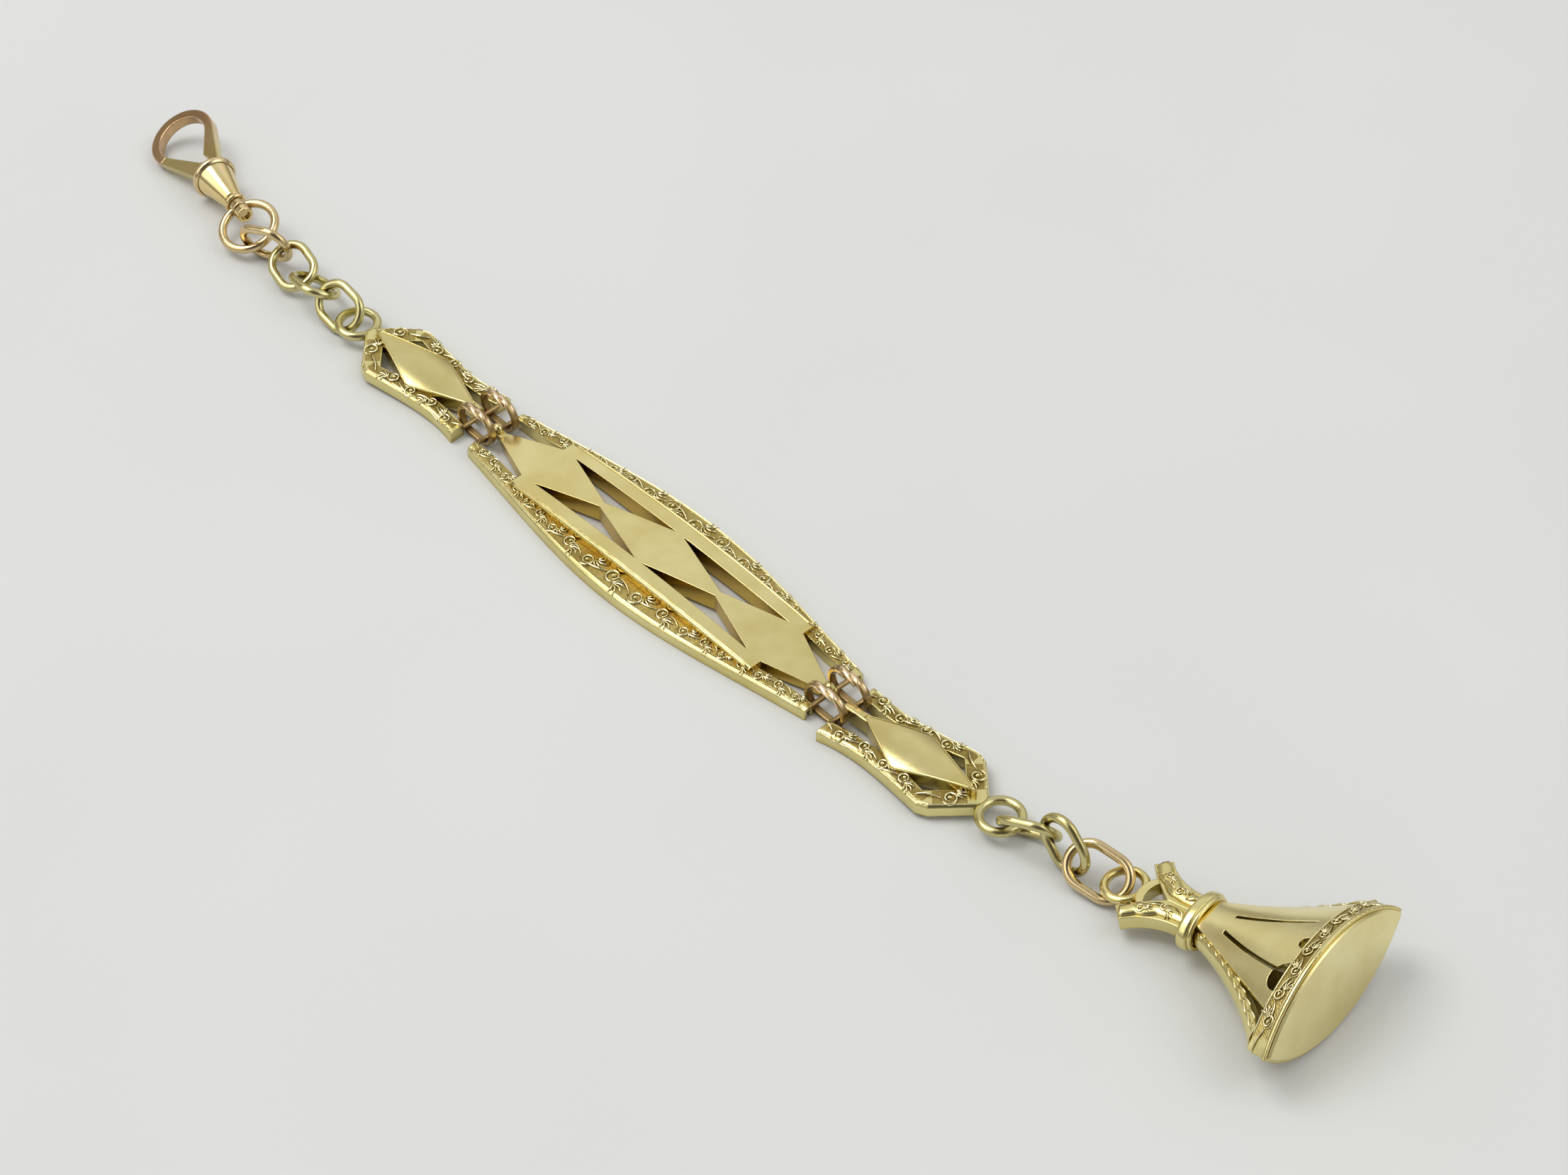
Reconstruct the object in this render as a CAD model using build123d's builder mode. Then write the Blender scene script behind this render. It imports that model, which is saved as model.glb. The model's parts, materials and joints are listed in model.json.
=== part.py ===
"""Pocket watch fob: sprung clasp, trace links, three hinged ornamental panels and a pendant seal.

The fob lies stretched out on a table. X runs from the clasp to the seal and Z is up.
"""
from math import cos, radians, sin, sqrt
import os

from build123d import *

os.makedirs("parts", exist_ok=True)

# where the middle panel's centre lies from the middle of the whole fob
middle_from_centre_x = 1.584
middle_from_centre_y = -3.848
middle_from_base_z = 0.006

# running gaps
bar_gap = 0.05
wire_gap = 0.06
turn_gap = 0.06
gate_gap = 0.06

# middle panel: two rails and a pierced plate between them
rail_half_length = 23.0
rail_height = 1.22
rail_outer_middle = 6.55
rail_outer_end = 3.55
rail_inner_middle = 3.90
rail_inner_end = 2.44
rail_skin = 0.36
rail_round = 0.50
rail_near_share = 0.465
rail_far_share = 0.73
rail_outer_near_share = 0.855
rail_outer_far_share = 0.70
rail_inner_near_share = 0.97
rail_inner_far_share = 0.74
plate_base = 0.35
plate_top_middle = 2.28
plate_top_end = 1.12
tip_set_back = 1.1
tip_reach = rail_half_length - tip_set_back
tip_half_width = 0.50
seal_tip_shift = -0.20
strip_set_back = 6.7
strip_end_reach = rail_half_length - strip_set_back
strip_end_inner = 2.56
strip_outer_end = 4.00
strip_outer_middle = 4.16
strip_round = 0.40
pierce_near = 0.48
pierce_end_wall = 1.8
pierce_far = strip_end_reach - pierce_end_wall
pierce_side = 2.50
neck_shift = 0.38
neck_reach = (pierce_near + pierce_far) / 2 + neck_shift
neck_half_width = 0.34
pocket_wall = 0.50
pocket_skin = 0.50

# crossbars, and the rings that join the panels
bar_radius = 0.25
bar_height = 1.0
clasp_bar_set_back = 0.02
seal_bar_set_back = 0.18
bar_seat = 0.12
ring_inner_radius = 1.35
ring_band = 0.45
ring_width = 0.70
ring_straight_half = 0.70
ring_lift = 0.05
ring_edge = 0.12
ring_pair_half = 1.40
tongue_half_width = 0.42
tongue_base = 0.55

# end panels
panel_eye_reach = 16.1
panel_joint_half = 3.75
panel_waist_half = 3.28
panel_waist_reach = 4.9
panel_swell_half = 3.72
panel_shoulder_set_back = 4.1
panel_shoulder_reach = panel_eye_reach - panel_shoulder_set_back
panel_swell_set_back = 3.0
panel_swell_reach = panel_shoulder_reach - panel_swell_set_back
panel_shoulder_half = 4.18
panel_corner_set_back = 3.0
panel_corner_reach = panel_eye_reach - panel_corner_set_back
panel_corner_half = 3.75
panel_eye_half = 0.75
panel_inner_joint = 2.07
panel_inner_waist = 1.72
panel_inner_swell = 2.12
panel_inner_shoulder_set_back = 4.6
panel_inner_shoulder_reach = panel_eye_reach - panel_inner_shoulder_set_back
panel_inner_shoulder = 2.62
panel_inner_apex_set_back = 1.9
panel_inner_apex = panel_eye_reach - panel_inner_apex_set_back
panel_round = 0.45
kite_half_width = 2.70
kite_end_set_back = 0.8
kite_end_reach = panel_eye_reach - kite_end_set_back
kite_corner_shift = 0.10
kite_corner_reach = kite_end_reach / 2 + kite_corner_shift
kite_base = 0.40
kite_top = 1.95
kite_crown = 0.62
kite_edge = 0.12
eye_out = 1.93
eye_reach = panel_eye_reach + eye_out
eye_radius = 1.87
eye_height = 0.72
wire_radius = 0.43

# where the end panels lie from the middle panel, and how they are turned
clasp_panel_y = 0.20
clasp_panel_heading = 181.19
clasp_kite_tip = 0.45
seal_panel_y = -0.70
seal_panel_heading = 2.87
seal_kite_tip = 1.90
panel_tilt = 2.0
clasp_pair_y = 0.12
seal_pair_y = -0.62

# trace links, and the angles at which each lies: heading, pitch and roll,
# then where it bears on the wire before it and on its own end, and the slack there
link_half_length = 2.565
link_half_width = 1.865
first_link_half_length = 2.70
first_link_half_width = 1.90
last_link_half_length = 2.85
last_link_half_width = 1.90
swivel_ring_radius = 2.725
seal_eye_radius = 1.75
seal_wire_radius = 0.40
link_4_lay = (179.34, 12.90, -48.20, 50.5, 52.3, 0)
link_3_lay = (170.94, -10.86, 28.67, 1.8, 0.5, 0)
link_2_lay = (169.49, 9.13, -25.01, -25.0, -35.3, 0)
link_1_lay = (194.08, -15.51, 75.71, -23.5, -30.5, 0)
swivel_ring_lay = (163.19, 9.11, -18.42, -16.1, 24.4, 0)
link_5_slack = 0.01
link_5_lay = (17.53, 14.41, -56.17, -46.1, -10.3, link_5_slack)
link_6_slack = 0.18
link_6_lay = (-3.76, -41.17, 82.86, -6.5, -58.4, link_6_slack)
link_7_slack = 0.07
link_7_lay = (10.46, -8.23, 36.48, -9.2, -55.4, link_7_slack)
seal_lay = (6.93, 9.26, 2.52, -54.3, -66.5, 0)

# clasp
clasp_heading = 168.0
clasp_pitch = -2.0
clasp_roll = -26.0
swivel_boss_angle = 0.0
barrel_wide_radius = 2.15
barrel_mouth_radius = 1.95
barrel_narrow_radius = 1.0
barrel_length = 5.3
barrel_bead_length = 0.9
collar_bead_radius = 1.1
collar_bead_length = 0.55
boss_radius = 0.85
boss_half_length = 0.5
post_radius = 0.40
post_bore_radius = 0.45
post_head_radius = 0.85
post_head_clear = 0.22
post_head_length = 0.85
post_dimple_radius = 0.5
post_dimple_depth = 0.3
bow_centre_reach = 6.7
bow_outer_radius = 3.5
bow_inner_radius = 2.6
bow_root_outer = 1.15
bow_root_inner = 0.2
bow_root_inner_reach = 2.0
bow_height = 1.1
pivot_depth = 0.75
pivot_side = 0.8
pivot_radius = 0.25
knuckle_radius = 0.5
gate_reach = 6.8
gate_swing_angle = 15
mouth_side_gap = 0.45
gate_root_side = 0.18
gate_root_reach = 0.35
pin_half_length = 1.45

# seal
collar_from_eye = 7.65
collar_half_width = 3.05
collar_half_height = 2.05
collar_half_thick = 0.55
collar_round = 0.35
horn_half_height = 0.65
horn_tip_reach = 6.6
horn_tip_inner = 2.75
horn_end_reach = 5.4
horn_end_outer = 3.85
horn_outer_reach = 3.6
horn_outer = 2.55
horn_neck_reach = 1.8
horn_neck_outer = 2.05
horn_inner_reach = 5.2
horn_inner = 1.45
horn_fork_reach = 3.3
saddle_reach = 5.65
saddle_half_width = 1.9
saddle_band = 0.75
rim_back_reach = 11.1
rim_depth = 1.6
rim_front_reach = rim_back_reach + rim_depth
bead_depth = 0.35
bead_front_reach = rim_front_reach + bead_depth
face_depth = 0.25
face_reach = bead_front_reach + face_depth
rim_back_half_length = 9.4
rim_back_half_width = 4.25
rim_front_half_length = 9.6
rim_front_half_width = 4.8
bead_half_length = 9.75
bead_half_width = 5.0
face_half_length = 9.4
face_half_width = 4.65
face_chamfer = 0.15
rim_wall = 0.95
rim_tip_wall = 1.3
shell_thick = 0.42
shell_neck_half = 1.5
shell_neck_top = 1.35
shell_neck_crown = 0.18
shell_middle_edge = 1.45
shell_middle_top = 2.75
shell_rim_half = 6.7
slit_width = 0.36
slit_lean = 0.55
slit_shift = -0.6
slit_near_reach = 3.5
slit_near_side = 0.85
slit_middle_reach = 7.0
slit_middle_side = 2.1
slit_far_reach = 10.4
slit_far_side = 3.0
moon_radius = 1.25
moon_side = 3.5
small_moon_radius = 0.65
leg_neck_side = 1.45
leg_neck_deep = 0.7
leg_neck_high = 0.8
leg_middle_reach = 5.6
leg_middle_side = 3.75
leg_middle_deep = 0.85
leg_middle_high = 1.05
leg_rim_side = 8.15
leg_rim_deep = 1.0
leg_rim_high = 1.15


def turned(place, point, heading, pitch=0.0, roll=0.0):
    """Plane at a point of another plane: X along the heading, then tilted and rolled."""
    along = Vector(
        cos(radians(heading)) * cos(radians(pitch)),
        sin(radians(heading)) * cos(radians(pitch)),
        sin(radians(pitch)),
    )
    level = Vector(-sin(radians(heading)), cos(radians(heading)), 0)
    side = level * cos(radians(roll)) + along.cross(level) * sin(radians(roll))
    return Plane(
        origin=place.from_local_coords(point),
        x_dir=place.from_local_coords(along) - place.origin,
        z_dir=place.from_local_coords(along.cross(side)) - place.origin,
    )


def across(place, reach, side=0.0, height=0.0):
    """Upright plane across a piece: its X is the piece's Y and its Y is the piece's Z."""
    return Plane(
        origin=place.from_local_coords((reach, side, height)),
        x_dir=place.y_dir,
        z_dir=place.x_dir,
    )


def beside(place, reach=0.0, side=0.0, height=0.0):
    """Upright plane along a piece: its X is the piece's X and its Y is the piece's Z."""
    return Plane(
        origin=place.from_local_coords((reach, side, height)),
        x_dir=place.x_dir,
        z_dir=-place.y_dir,
    )


def loop_end(place, half_length, half_width, angle):
    """Point on a loop's centre line, at an angle round its far end, and the wire's direction."""
    outward = place.x_dir * cos(radians(angle)) + place.y_dir * sin(radians(angle))
    tangent = place.y_dir * cos(radians(angle)) - place.x_dir * sin(radians(angle))
    point = place.origin + place.x_dir * (half_length - half_width) + outward * half_width
    return point, tangent, outward


def hung_on(base, before, before_size, wire_sum, lay, size):
    """Plane of a loop that hangs through the end of the loop before it."""
    heading, pitch, roll, bearing, own_bearing, slack = lay
    half_length, half_width = size
    point, tangent, outward = loop_end(before, before_size[0], before_size[1], bearing)
    own = turned(base, (0, 0, 0), heading, pitch, roll)
    own_tangent = own.x_dir * sin(radians(own_bearing)) + own.y_dir * cos(radians(own_bearing))
    pull = tangent.cross(own_tangent).normalized()
    if pull.dot(outward) < 0:
        pull = -pull
    start = point - pull * (wire_sum + wire_gap + slack)
    inward = own.x_dir * cos(radians(own_bearing)) - own.y_dir * sin(radians(own_bearing))
    centre = start + own.x_dir * (half_length - half_width) + inward * half_width
    return Plane(origin=centre, x_dir=own.x_dir, z_dir=own.z_dir)


def wire_loop(place, half_length, half_width, wire):
    """A soldered oval loop of round wire."""
    straight = half_length - half_width
    with BuildPart() as loop:
        with BuildLine(place) as route:
            Line((-straight, half_width), (straight, half_width))
            ThreePointArc((straight, half_width), (half_length, 0), (straight, -half_width))
            Line((straight, -half_width), (-straight, -half_width))
            ThreePointArc((-straight, -half_width), (-half_length, 0), (-straight, half_width))
        with BuildSketch(across(place, 0, half_width)):
            Circle(wire)
        sweep()
    return loop


def joint_ring(place, reach, side):
    """One flat-sided oval ring, upright, that goes round two crossbars."""
    outer_radius = ring_inner_radius + ring_band
    outer_length = 2 * (ring_straight_half + outer_radius)
    inner_length = 2 * (ring_straight_half + ring_inner_radius)
    with BuildPart() as ring:
        with BuildSketch(beside(place, reach, side, ring_lift + outer_radius)):
            SlotOverall(outer_length, 2 * outer_radius)
            SlotOverall(inner_length, 2 * ring_inner_radius, mode=Mode.SUBTRACT)
        extrude(amount=ring_width / 2, both=True)
        fillet(ring.edges(), ring_edge)
    return ring


def crossbar(place, reach, low_side, high_side):
    """A round bar across a panel's open end."""
    with BuildPart() as bar:
        with BuildSketch(beside(place, reach, (low_side + high_side) / 2, bar_height)):
            Circle(bar_radius)
        extrude(amount=(high_side - low_side) / 2, both=True)
    return bar


def panel_frame(place, bars):
    """The shield-shaped frame of an end panel, open towards the middle panel."""
    with BuildPart() as frame:
        with BuildSketch(place):
            with BuildLine():
                Line((0, -panel_joint_half), (0, -panel_inner_joint))
                Spline(
                    (0, -panel_inner_joint),
                    (panel_waist_reach, -panel_inner_waist),
                    (panel_swell_reach, -panel_inner_swell),
                    (panel_inner_shoulder_reach, -panel_inner_shoulder),
                )
                Line(
                    (panel_inner_shoulder_reach, -panel_inner_shoulder),
                    (panel_inner_apex, 0),
                )
                Line(
                    (panel_inner_apex, 0),
                    (panel_inner_shoulder_reach, panel_inner_shoulder),
                )
                Spline(
                    (panel_inner_shoulder_reach, panel_inner_shoulder),
                    (panel_swell_reach, panel_inner_swell),
                    (panel_waist_reach, panel_inner_waist),
                    (0, panel_inner_joint),
                )
                Line((0, panel_inner_joint), (0, panel_joint_half))
                Spline(
                    (0, panel_joint_half),
                    (panel_waist_reach, panel_waist_half),
                    (panel_swell_reach, panel_swell_half),
                    (panel_shoulder_reach, panel_shoulder_half),
                )
                Line(
                    (panel_shoulder_reach, panel_shoulder_half),
                    (panel_corner_reach, panel_corner_half),
                )
                Line((panel_corner_reach, panel_corner_half), (panel_eye_reach, panel_eye_half))
                Line((panel_eye_reach, panel_eye_half), (panel_eye_reach, -panel_eye_half))
                Line((panel_eye_reach, -panel_eye_half), (panel_corner_reach, -panel_corner_half))
                Line(
                    (panel_corner_reach, -panel_corner_half),
                    (panel_shoulder_reach, -panel_shoulder_half),
                )
                Spline(
                    (panel_shoulder_reach, -panel_shoulder_half),
                    (panel_swell_reach, -panel_swell_half),
                    (panel_waist_reach, -panel_waist_half),
                    (0, -panel_joint_half),
                )
            make_face()
        extrude(amount=rail_height)
        rims = frame.faces().sort_by(Axis.Z)[-1].outer_wire().edges()
        outer_rims = rims.filter_by(
            lambda edge: abs(place.to_local_coords(edge.center()).Y) > panel_inner_shoulder
            or place.to_local_coords(edge.center()).X > panel_corner_reach
        )
        long_rims = outer_rims.filter_by(
            lambda edge: panel_round
            < place.to_local_coords(edge.center()).X
            < panel_eye_reach - panel_round
        )
        fillet(long_rims, panel_round)
        with Locations(place.location * Location((eye_reach, 0, eye_height))):
            Torus(eye_radius, wire_radius, mode=Mode.SUBTRACT)
        add(bars, mode=Mode.SUBTRACT)
    return frame


def panel_eye(place):
    """The flat round eye at an end panel's narrow end."""
    with BuildPart(place.offset(eye_height)) as eye:
        with Locations((eye_reach, 0)):
            Torus(eye_radius, wire_radius)
    return eye


def panel_plate(place, tip_at, neighbours):
    """The crowned kite-shaped plate of an end panel, on its frame and over its crossbar."""
    crown_reach = panel_shoulder_half
    with BuildPart() as plate:
        with BuildSketch(place.offset(kite_base)):
            Polygon(
                (tip_at, 0),
                (kite_corner_reach, -kite_half_width),
                (kite_end_reach, 0),
                (kite_corner_reach, kite_half_width),
                align=None,
            )
            with BuildLine():
                Polyline(
                    (0, -tongue_half_width),
                    (tip_at + kite_corner_reach / 4, -tongue_half_width),
                    (tip_at + kite_corner_reach / 4, tongue_half_width),
                    (0, tongue_half_width),
                    close=True,
                )
            make_face()
        extrude(amount=kite_top)
        with BuildSketch(across(place, -seal_bar_set_back)):
            with BuildLine():
                ThreePointArc(
                    (-kite_half_width, kite_top - kite_crown),
                    (0, kite_top),
                    (kite_half_width, kite_top - kite_crown),
                )
                Line((kite_half_width, kite_top - kite_crown), (kite_half_width, 0))
                Line((kite_half_width, 0), (-kite_half_width, 0))
                Line((-kite_half_width, 0), (-kite_half_width, kite_top - kite_crown))
            make_face()
        extrude(amount=kite_end_reach + crown_reach, mode=Mode.INTERSECT)
        for neighbour in neighbours:
            add(neighbour, mode=Mode.SUBTRACT)
        top = plate.faces().sort_by(Axis.Z)[-1]
        fillet(top.edges(), kite_edge)
    return plate


def marquise(half_length, half_width):
    """A pointed oval's outline in the sketch at hand."""
    with BuildLine() as outline:
        ThreePointArc((-half_length, 0), (0, half_width), (half_length, 0))
        ThreePointArc((half_length, 0), (0, -half_width), (-half_length, 0))
    make_face(outline.edges())


def marquise_height(half_length, half_width, side):
    """How high a pointed oval's arc stands at a distance from its middle."""
    radius = (half_length**2 + half_width**2) / (2 * half_width)
    return sqrt(radius**2 - side**2) - (radius - half_width)


home = Plane(origin=(middle_from_centre_x, middle_from_centre_y, middle_from_base_z))

# joint rings: the bars bear low in them, at their ends

bar_below_ring_centre = ring_lift + ring_inner_radius + ring_band - bar_height
ring_bearing = ring_inner_radius - bar_radius - bar_gap
bar_to_ring_centre = ring_straight_half + sqrt(ring_bearing**2 - bar_below_ring_centre**2)
clasp_bar_x = -rail_half_length + clasp_bar_set_back
clasp_ring_x = clasp_bar_x - bar_to_ring_centre
clasp_panel_bar_x = clasp_ring_x - bar_to_ring_centre
seal_bar_x = rail_half_length - seal_bar_set_back
seal_ring_x = seal_bar_x + bar_to_ring_centre
seal_panel_bar_x = seal_ring_x + bar_to_ring_centre


def panel_place(bar_at, side, set_back, heading):
    """Plane of an end panel, tilted up a little about its crossbar."""
    lying = turned(home, (bar_at, side, bar_height), heading, panel_tilt)
    return Plane(
        origin=lying.from_local_coords((-set_back, 0, -bar_height)),
        x_dir=lying.x_dir,
        z_dir=lying.z_dir,
    )


clasp_panel = panel_place(
    clasp_panel_bar_x, clasp_panel_y, clasp_bar_set_back, clasp_panel_heading
)
seal_panel = panel_place(seal_panel_bar_x, seal_panel_y, seal_bar_set_back, seal_panel_heading)

# middle panel

bar_half_length = rail_inner_end + bar_seat
middle_bar_clasp_end = crossbar(home, clasp_bar_x, -bar_half_length, bar_half_length)
middle_bar_clasp_end.part.label = "middle_bar_clasp_end"
export_step(middle_bar_clasp_end.part, "parts/middle_bar_clasp_end.step")

middle_bar_seal_end = crossbar(home, seal_bar_x, -bar_half_length, bar_half_length)
middle_bar_seal_end.part.label = "middle_bar_seal_end"
export_step(middle_bar_seal_end.part, "parts/middle_bar_seal_end.step")

rail_near = rail_half_length * rail_near_share
rail_far = rail_half_length * rail_far_share


def rail_outline(skin, end):
    """Footprint of the far rail, or of the hollow under it when a skin is left."""
    outer_near = rail_outer_middle * rail_outer_near_share - skin
    outer_far = rail_outer_middle * rail_outer_far_share - skin
    inner_near = rail_inner_middle * rail_inner_near_share + skin
    inner_far = rail_inner_middle * rail_inner_far_share + skin
    with BuildLine() as footprint:
        Spline(
            (-end, rail_outer_end - skin),
            (-rail_far, outer_far),
            (-rail_near, outer_near),
            (0, rail_outer_middle - skin),
            (rail_near, outer_near),
            (rail_far, outer_far),
            (end, rail_outer_end - skin),
        )
        Line((end, rail_outer_end - skin), (end, rail_inner_end + skin))
        Spline(
            (end, rail_inner_end + skin),
            (rail_far, inner_far),
            (rail_near, inner_near),
            (0, rail_inner_middle + skin),
            (-rail_near, inner_near),
            (-rail_far, inner_far),
            (-end, rail_inner_end + skin),
        )
        Line((-end, rail_inner_end + skin), (-end, rail_outer_end - skin))
    make_face(footprint.edges())


with BuildPart() as middle_rail_far_side:
    with BuildSketch(home):
        rail_outline(0, rail_half_length)
    extrude(amount=rail_height)
    with BuildSketch(beside(home, 0, 0, bar_height)):
        SlotOverall(2 * (rail_half_length + bar_radius), 2 * bar_radius)
        with Locations(((clasp_bar_x + seal_bar_x) / 2, 0)):
            Rectangle(seal_bar_x - clasp_bar_x, 2 * bar_radius, mode=Mode.SUBTRACT)
        with Locations((clasp_bar_x, 0), (seal_bar_x, 0)):
            Circle(bar_radius)
    extrude(amount=bar_half_length, both=True, mode=Mode.SUBTRACT)
    outer_rim = middle_rail_far_side.faces().sort_by(Axis.Z)[-1].edges().sort_by(Axis.Y)[-1]
    fillet(outer_rim, rail_round)
    with BuildSketch(home):
        rail_outline(rail_skin, rail_half_length + rail_skin)
    extrude(amount=rail_height - rail_skin, mode=Mode.SUBTRACT)

middle_rail_far_side.part.label = "middle_rail_far_side"
export_step(middle_rail_far_side.part, "parts/middle_rail_far_side.step")

with BuildPart() as middle_rail_near_side:
    mirror(middle_rail_far_side.part, about=beside(home))

middle_rail_near_side.part.label = "middle_rail_near_side"
export_step(middle_rail_near_side.part, "parts/middle_rail_near_side.step")

with BuildPart() as middle_plate:
    with BuildSketch(home.offset(plate_base)):
        with BuildLine():
            ThreePointArc(
                (-strip_end_reach, strip_outer_end),
                (0, strip_outer_middle),
                (strip_end_reach, strip_outer_end),
            )
            Polyline(
                (strip_end_reach, strip_outer_end),
                (strip_end_reach, strip_end_inner),
                (tip_reach, seal_tip_shift + tip_half_width),
                (tip_reach, seal_tip_shift - tip_half_width),
                (strip_end_reach, -strip_end_inner),
                (strip_end_reach, -strip_outer_end),
            )
            ThreePointArc(
                (strip_end_reach, -strip_outer_end),
                (0, -strip_outer_middle),
                (-strip_end_reach, -strip_outer_end),
            )
            Polyline(
                (-strip_end_reach, -strip_outer_end),
                (-strip_end_reach, -strip_end_inner),
                (-tip_reach, -tip_half_width),
                (-tip_reach, tip_half_width),
                (-strip_end_reach, strip_end_inner),
                (-strip_end_reach, strip_outer_end),
            )
        make_face()
        for end in (-1, 1):
            for side in (-1, 1):
                Polygon(
                    (end * pierce_near, side * pierce_side),
                    (end * neck_reach, side * neck_half_width),
                    (end * pierce_far, side * pierce_side),
                    align=None,
                    mode=Mode.SUBTRACT,
                )
    extrude(amount=plate_top_middle)
    with BuildSketch(beside(home)):
        with BuildLine():
            ThreePointArc(
                (-tip_reach, plate_top_end), (0, plate_top_middle), (tip_reach, plate_top_end)
            )
            Polyline(
                (tip_reach, plate_top_end),
                (tip_reach, 0),
                (-tip_reach, 0),
                (-tip_reach, plate_top_end),
            )
        make_face()
    extrude(amount=2 * strip_outer_middle, both=True, mode=Mode.INTERSECT)
    strip_rims = middle_plate.edges().filter_by(
        lambda edge: abs(home.to_local_coords(edge.center()).Y) > strip_outer_end
        and home.to_local_coords(edge.center()).Z > rail_height
    )
    fillet(strip_rims, strip_round)
    with BuildSketch(home.offset(plate_base)):
        Polygon(
            (-neck_reach + 3 * pocket_wall, 0),
            (0, -pierce_side + pocket_wall),
            (neck_reach - 3 * pocket_wall, 0),
            (0, pierce_side - pocket_wall),
            align=None,
        )
    extrude(amount=plate_top_middle - plate_base - pocket_skin, mode=Mode.SUBTRACT)
    with BuildSketch(home.offset(plate_base)):
        for end in (-1, 1):
            Polygon(
                (end * (neck_reach + 3 * pocket_wall), 0),
                (end * pierce_far, -pierce_side + pocket_wall),
                (end * (tip_reach - 3 * pocket_wall), 0),
                (end * pierce_far, pierce_side - pocket_wall),
                align=None,
            )
    extrude(amount=plate_top_end - plate_base - pocket_skin, mode=Mode.SUBTRACT)
    with BuildSketch(home):
        rail_outline(0, rail_half_length)
        mirror(about=Plane.XZ)
    extrude(amount=rail_height, mode=Mode.SUBTRACT)

middle_plate.part.label = "middle_plate"
export_step(middle_plate.part, "parts/middle_plate.step")


def tongue(end, bar, bar_x, shift):
    """The tab that turns from the middle plate's tip down round a crossbar."""
    bar_reach = abs(bar_x)
    with BuildPart() as tab:
        with BuildSketch(beside(home, 0, shift)):
            with BuildLine():
                Line((end * tip_reach, plate_top_end), (end * tip_reach, tongue_base))
                Line((end * tip_reach, tongue_base), (end * bar_reach, tongue_base))
                ThreePointArc(
                    (end * bar_reach, tongue_base),
                    (end * (bar_reach + bar_height - tongue_base), bar_height),
                    (end * bar_reach, 2 * bar_height - tongue_base),
                )
                Line((end * bar_reach, 2 * bar_height - tongue_base), (end * tip_reach, plate_top_end))
            make_face()
        extrude(amount=tongue_half_width, both=True)
        add(bar.part, mode=Mode.SUBTRACT)
    return tab


middle_tongue_clasp_end = tongue(-1, middle_bar_clasp_end, clasp_bar_x, 0)
middle_tongue_clasp_end.part.label = "middle_tongue_clasp_end"
export_step(middle_tongue_clasp_end.part, "parts/middle_tongue_clasp_end.step")

middle_tongue_seal_end = tongue(1, middle_bar_seal_end, seal_bar_x, seal_tip_shift)
middle_tongue_seal_end.part.label = "middle_tongue_seal_end"
export_step(middle_tongue_seal_end.part, "parts/middle_tongue_seal_end.step")

# joint rings

clasp_ring_near_side = joint_ring(home, clasp_ring_x, clasp_pair_y - ring_pair_half)
clasp_ring_near_side.part.label = "clasp_ring_near_side"
export_step(clasp_ring_near_side.part, "parts/clasp_ring_near_side.step")

clasp_ring_far_side = joint_ring(home, clasp_ring_x, clasp_pair_y + ring_pair_half)
clasp_ring_far_side.part.label = "clasp_ring_far_side"
export_step(clasp_ring_far_side.part, "parts/clasp_ring_far_side.step")

seal_ring_near_side = joint_ring(home, seal_ring_x, seal_pair_y - ring_pair_half)
seal_ring_near_side.part.label = "seal_ring_near_side"
export_step(seal_ring_near_side.part, "parts/seal_ring_near_side.step")

seal_ring_far_side = joint_ring(home, seal_ring_x, seal_pair_y + ring_pair_half)
seal_ring_far_side.part.label = "seal_ring_far_side"
export_step(seal_ring_far_side.part, "parts/seal_ring_far_side.step")

# end panel towards the clasp

bar_low = panel_inner_joint + bar_seat
clasp_panel_bar = crossbar(
    home, clasp_panel_bar_x, clasp_panel_y - bar_low, clasp_panel_y + bar_low
)
clasp_panel_bar.part.label = "clasp_panel_bar"
export_step(clasp_panel_bar.part, "parts/clasp_panel_bar.step")

clasp_panel_frame = panel_frame(clasp_panel, clasp_panel_bar.part)
clasp_panel_frame.part.label = "clasp_panel_frame"
export_step(clasp_panel_frame.part, "parts/clasp_panel_frame.step")

clasp_panel_eye = panel_eye(clasp_panel)
clasp_panel_eye.part.label = "clasp_panel_eye"
export_step(clasp_panel_eye.part, "parts/clasp_panel_eye.step")

clasp_panel_plate = panel_plate(
    clasp_panel, clasp_kite_tip, (clasp_panel_frame.part, clasp_panel_bar.part)
)
clasp_panel_plate.part.label = "clasp_panel_plate"
export_step(clasp_panel_plate.part, "parts/clasp_panel_plate.step")

# end panel towards the seal

seal_panel_bar = crossbar(
    home, seal_panel_bar_x, seal_panel_y - bar_low, seal_panel_y + bar_low
)
seal_panel_bar.part.label = "seal_panel_bar"
export_step(seal_panel_bar.part, "parts/seal_panel_bar.step")

seal_panel_frame = panel_frame(seal_panel, seal_panel_bar.part)
seal_panel_frame.part.label = "seal_panel_frame"
export_step(seal_panel_frame.part, "parts/seal_panel_frame.step")

seal_panel_eye = panel_eye(seal_panel)
seal_panel_eye.part.label = "seal_panel_eye"
export_step(seal_panel_eye.part, "parts/seal_panel_eye.step")

seal_panel_plate = panel_plate(
    seal_panel, seal_kite_tip, (seal_panel_frame.part, seal_panel_bar.part)
)
seal_panel_plate.part.label = "seal_panel_plate"
export_step(seal_panel_plate.part, "parts/seal_panel_plate.step")

# trace links from the clasp-side panel to the swivel ring

link_size = (link_half_length, link_half_width)
eye_size = (eye_radius, eye_radius)
first_size = (first_link_half_length, first_link_half_width)
last_size = (last_link_half_length, last_link_half_width)
swivel_size = (swivel_ring_radius, swivel_ring_radius)
seal_eye_size = (seal_eye_radius, seal_eye_radius)
two_wires = 2 * wire_radius

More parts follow.
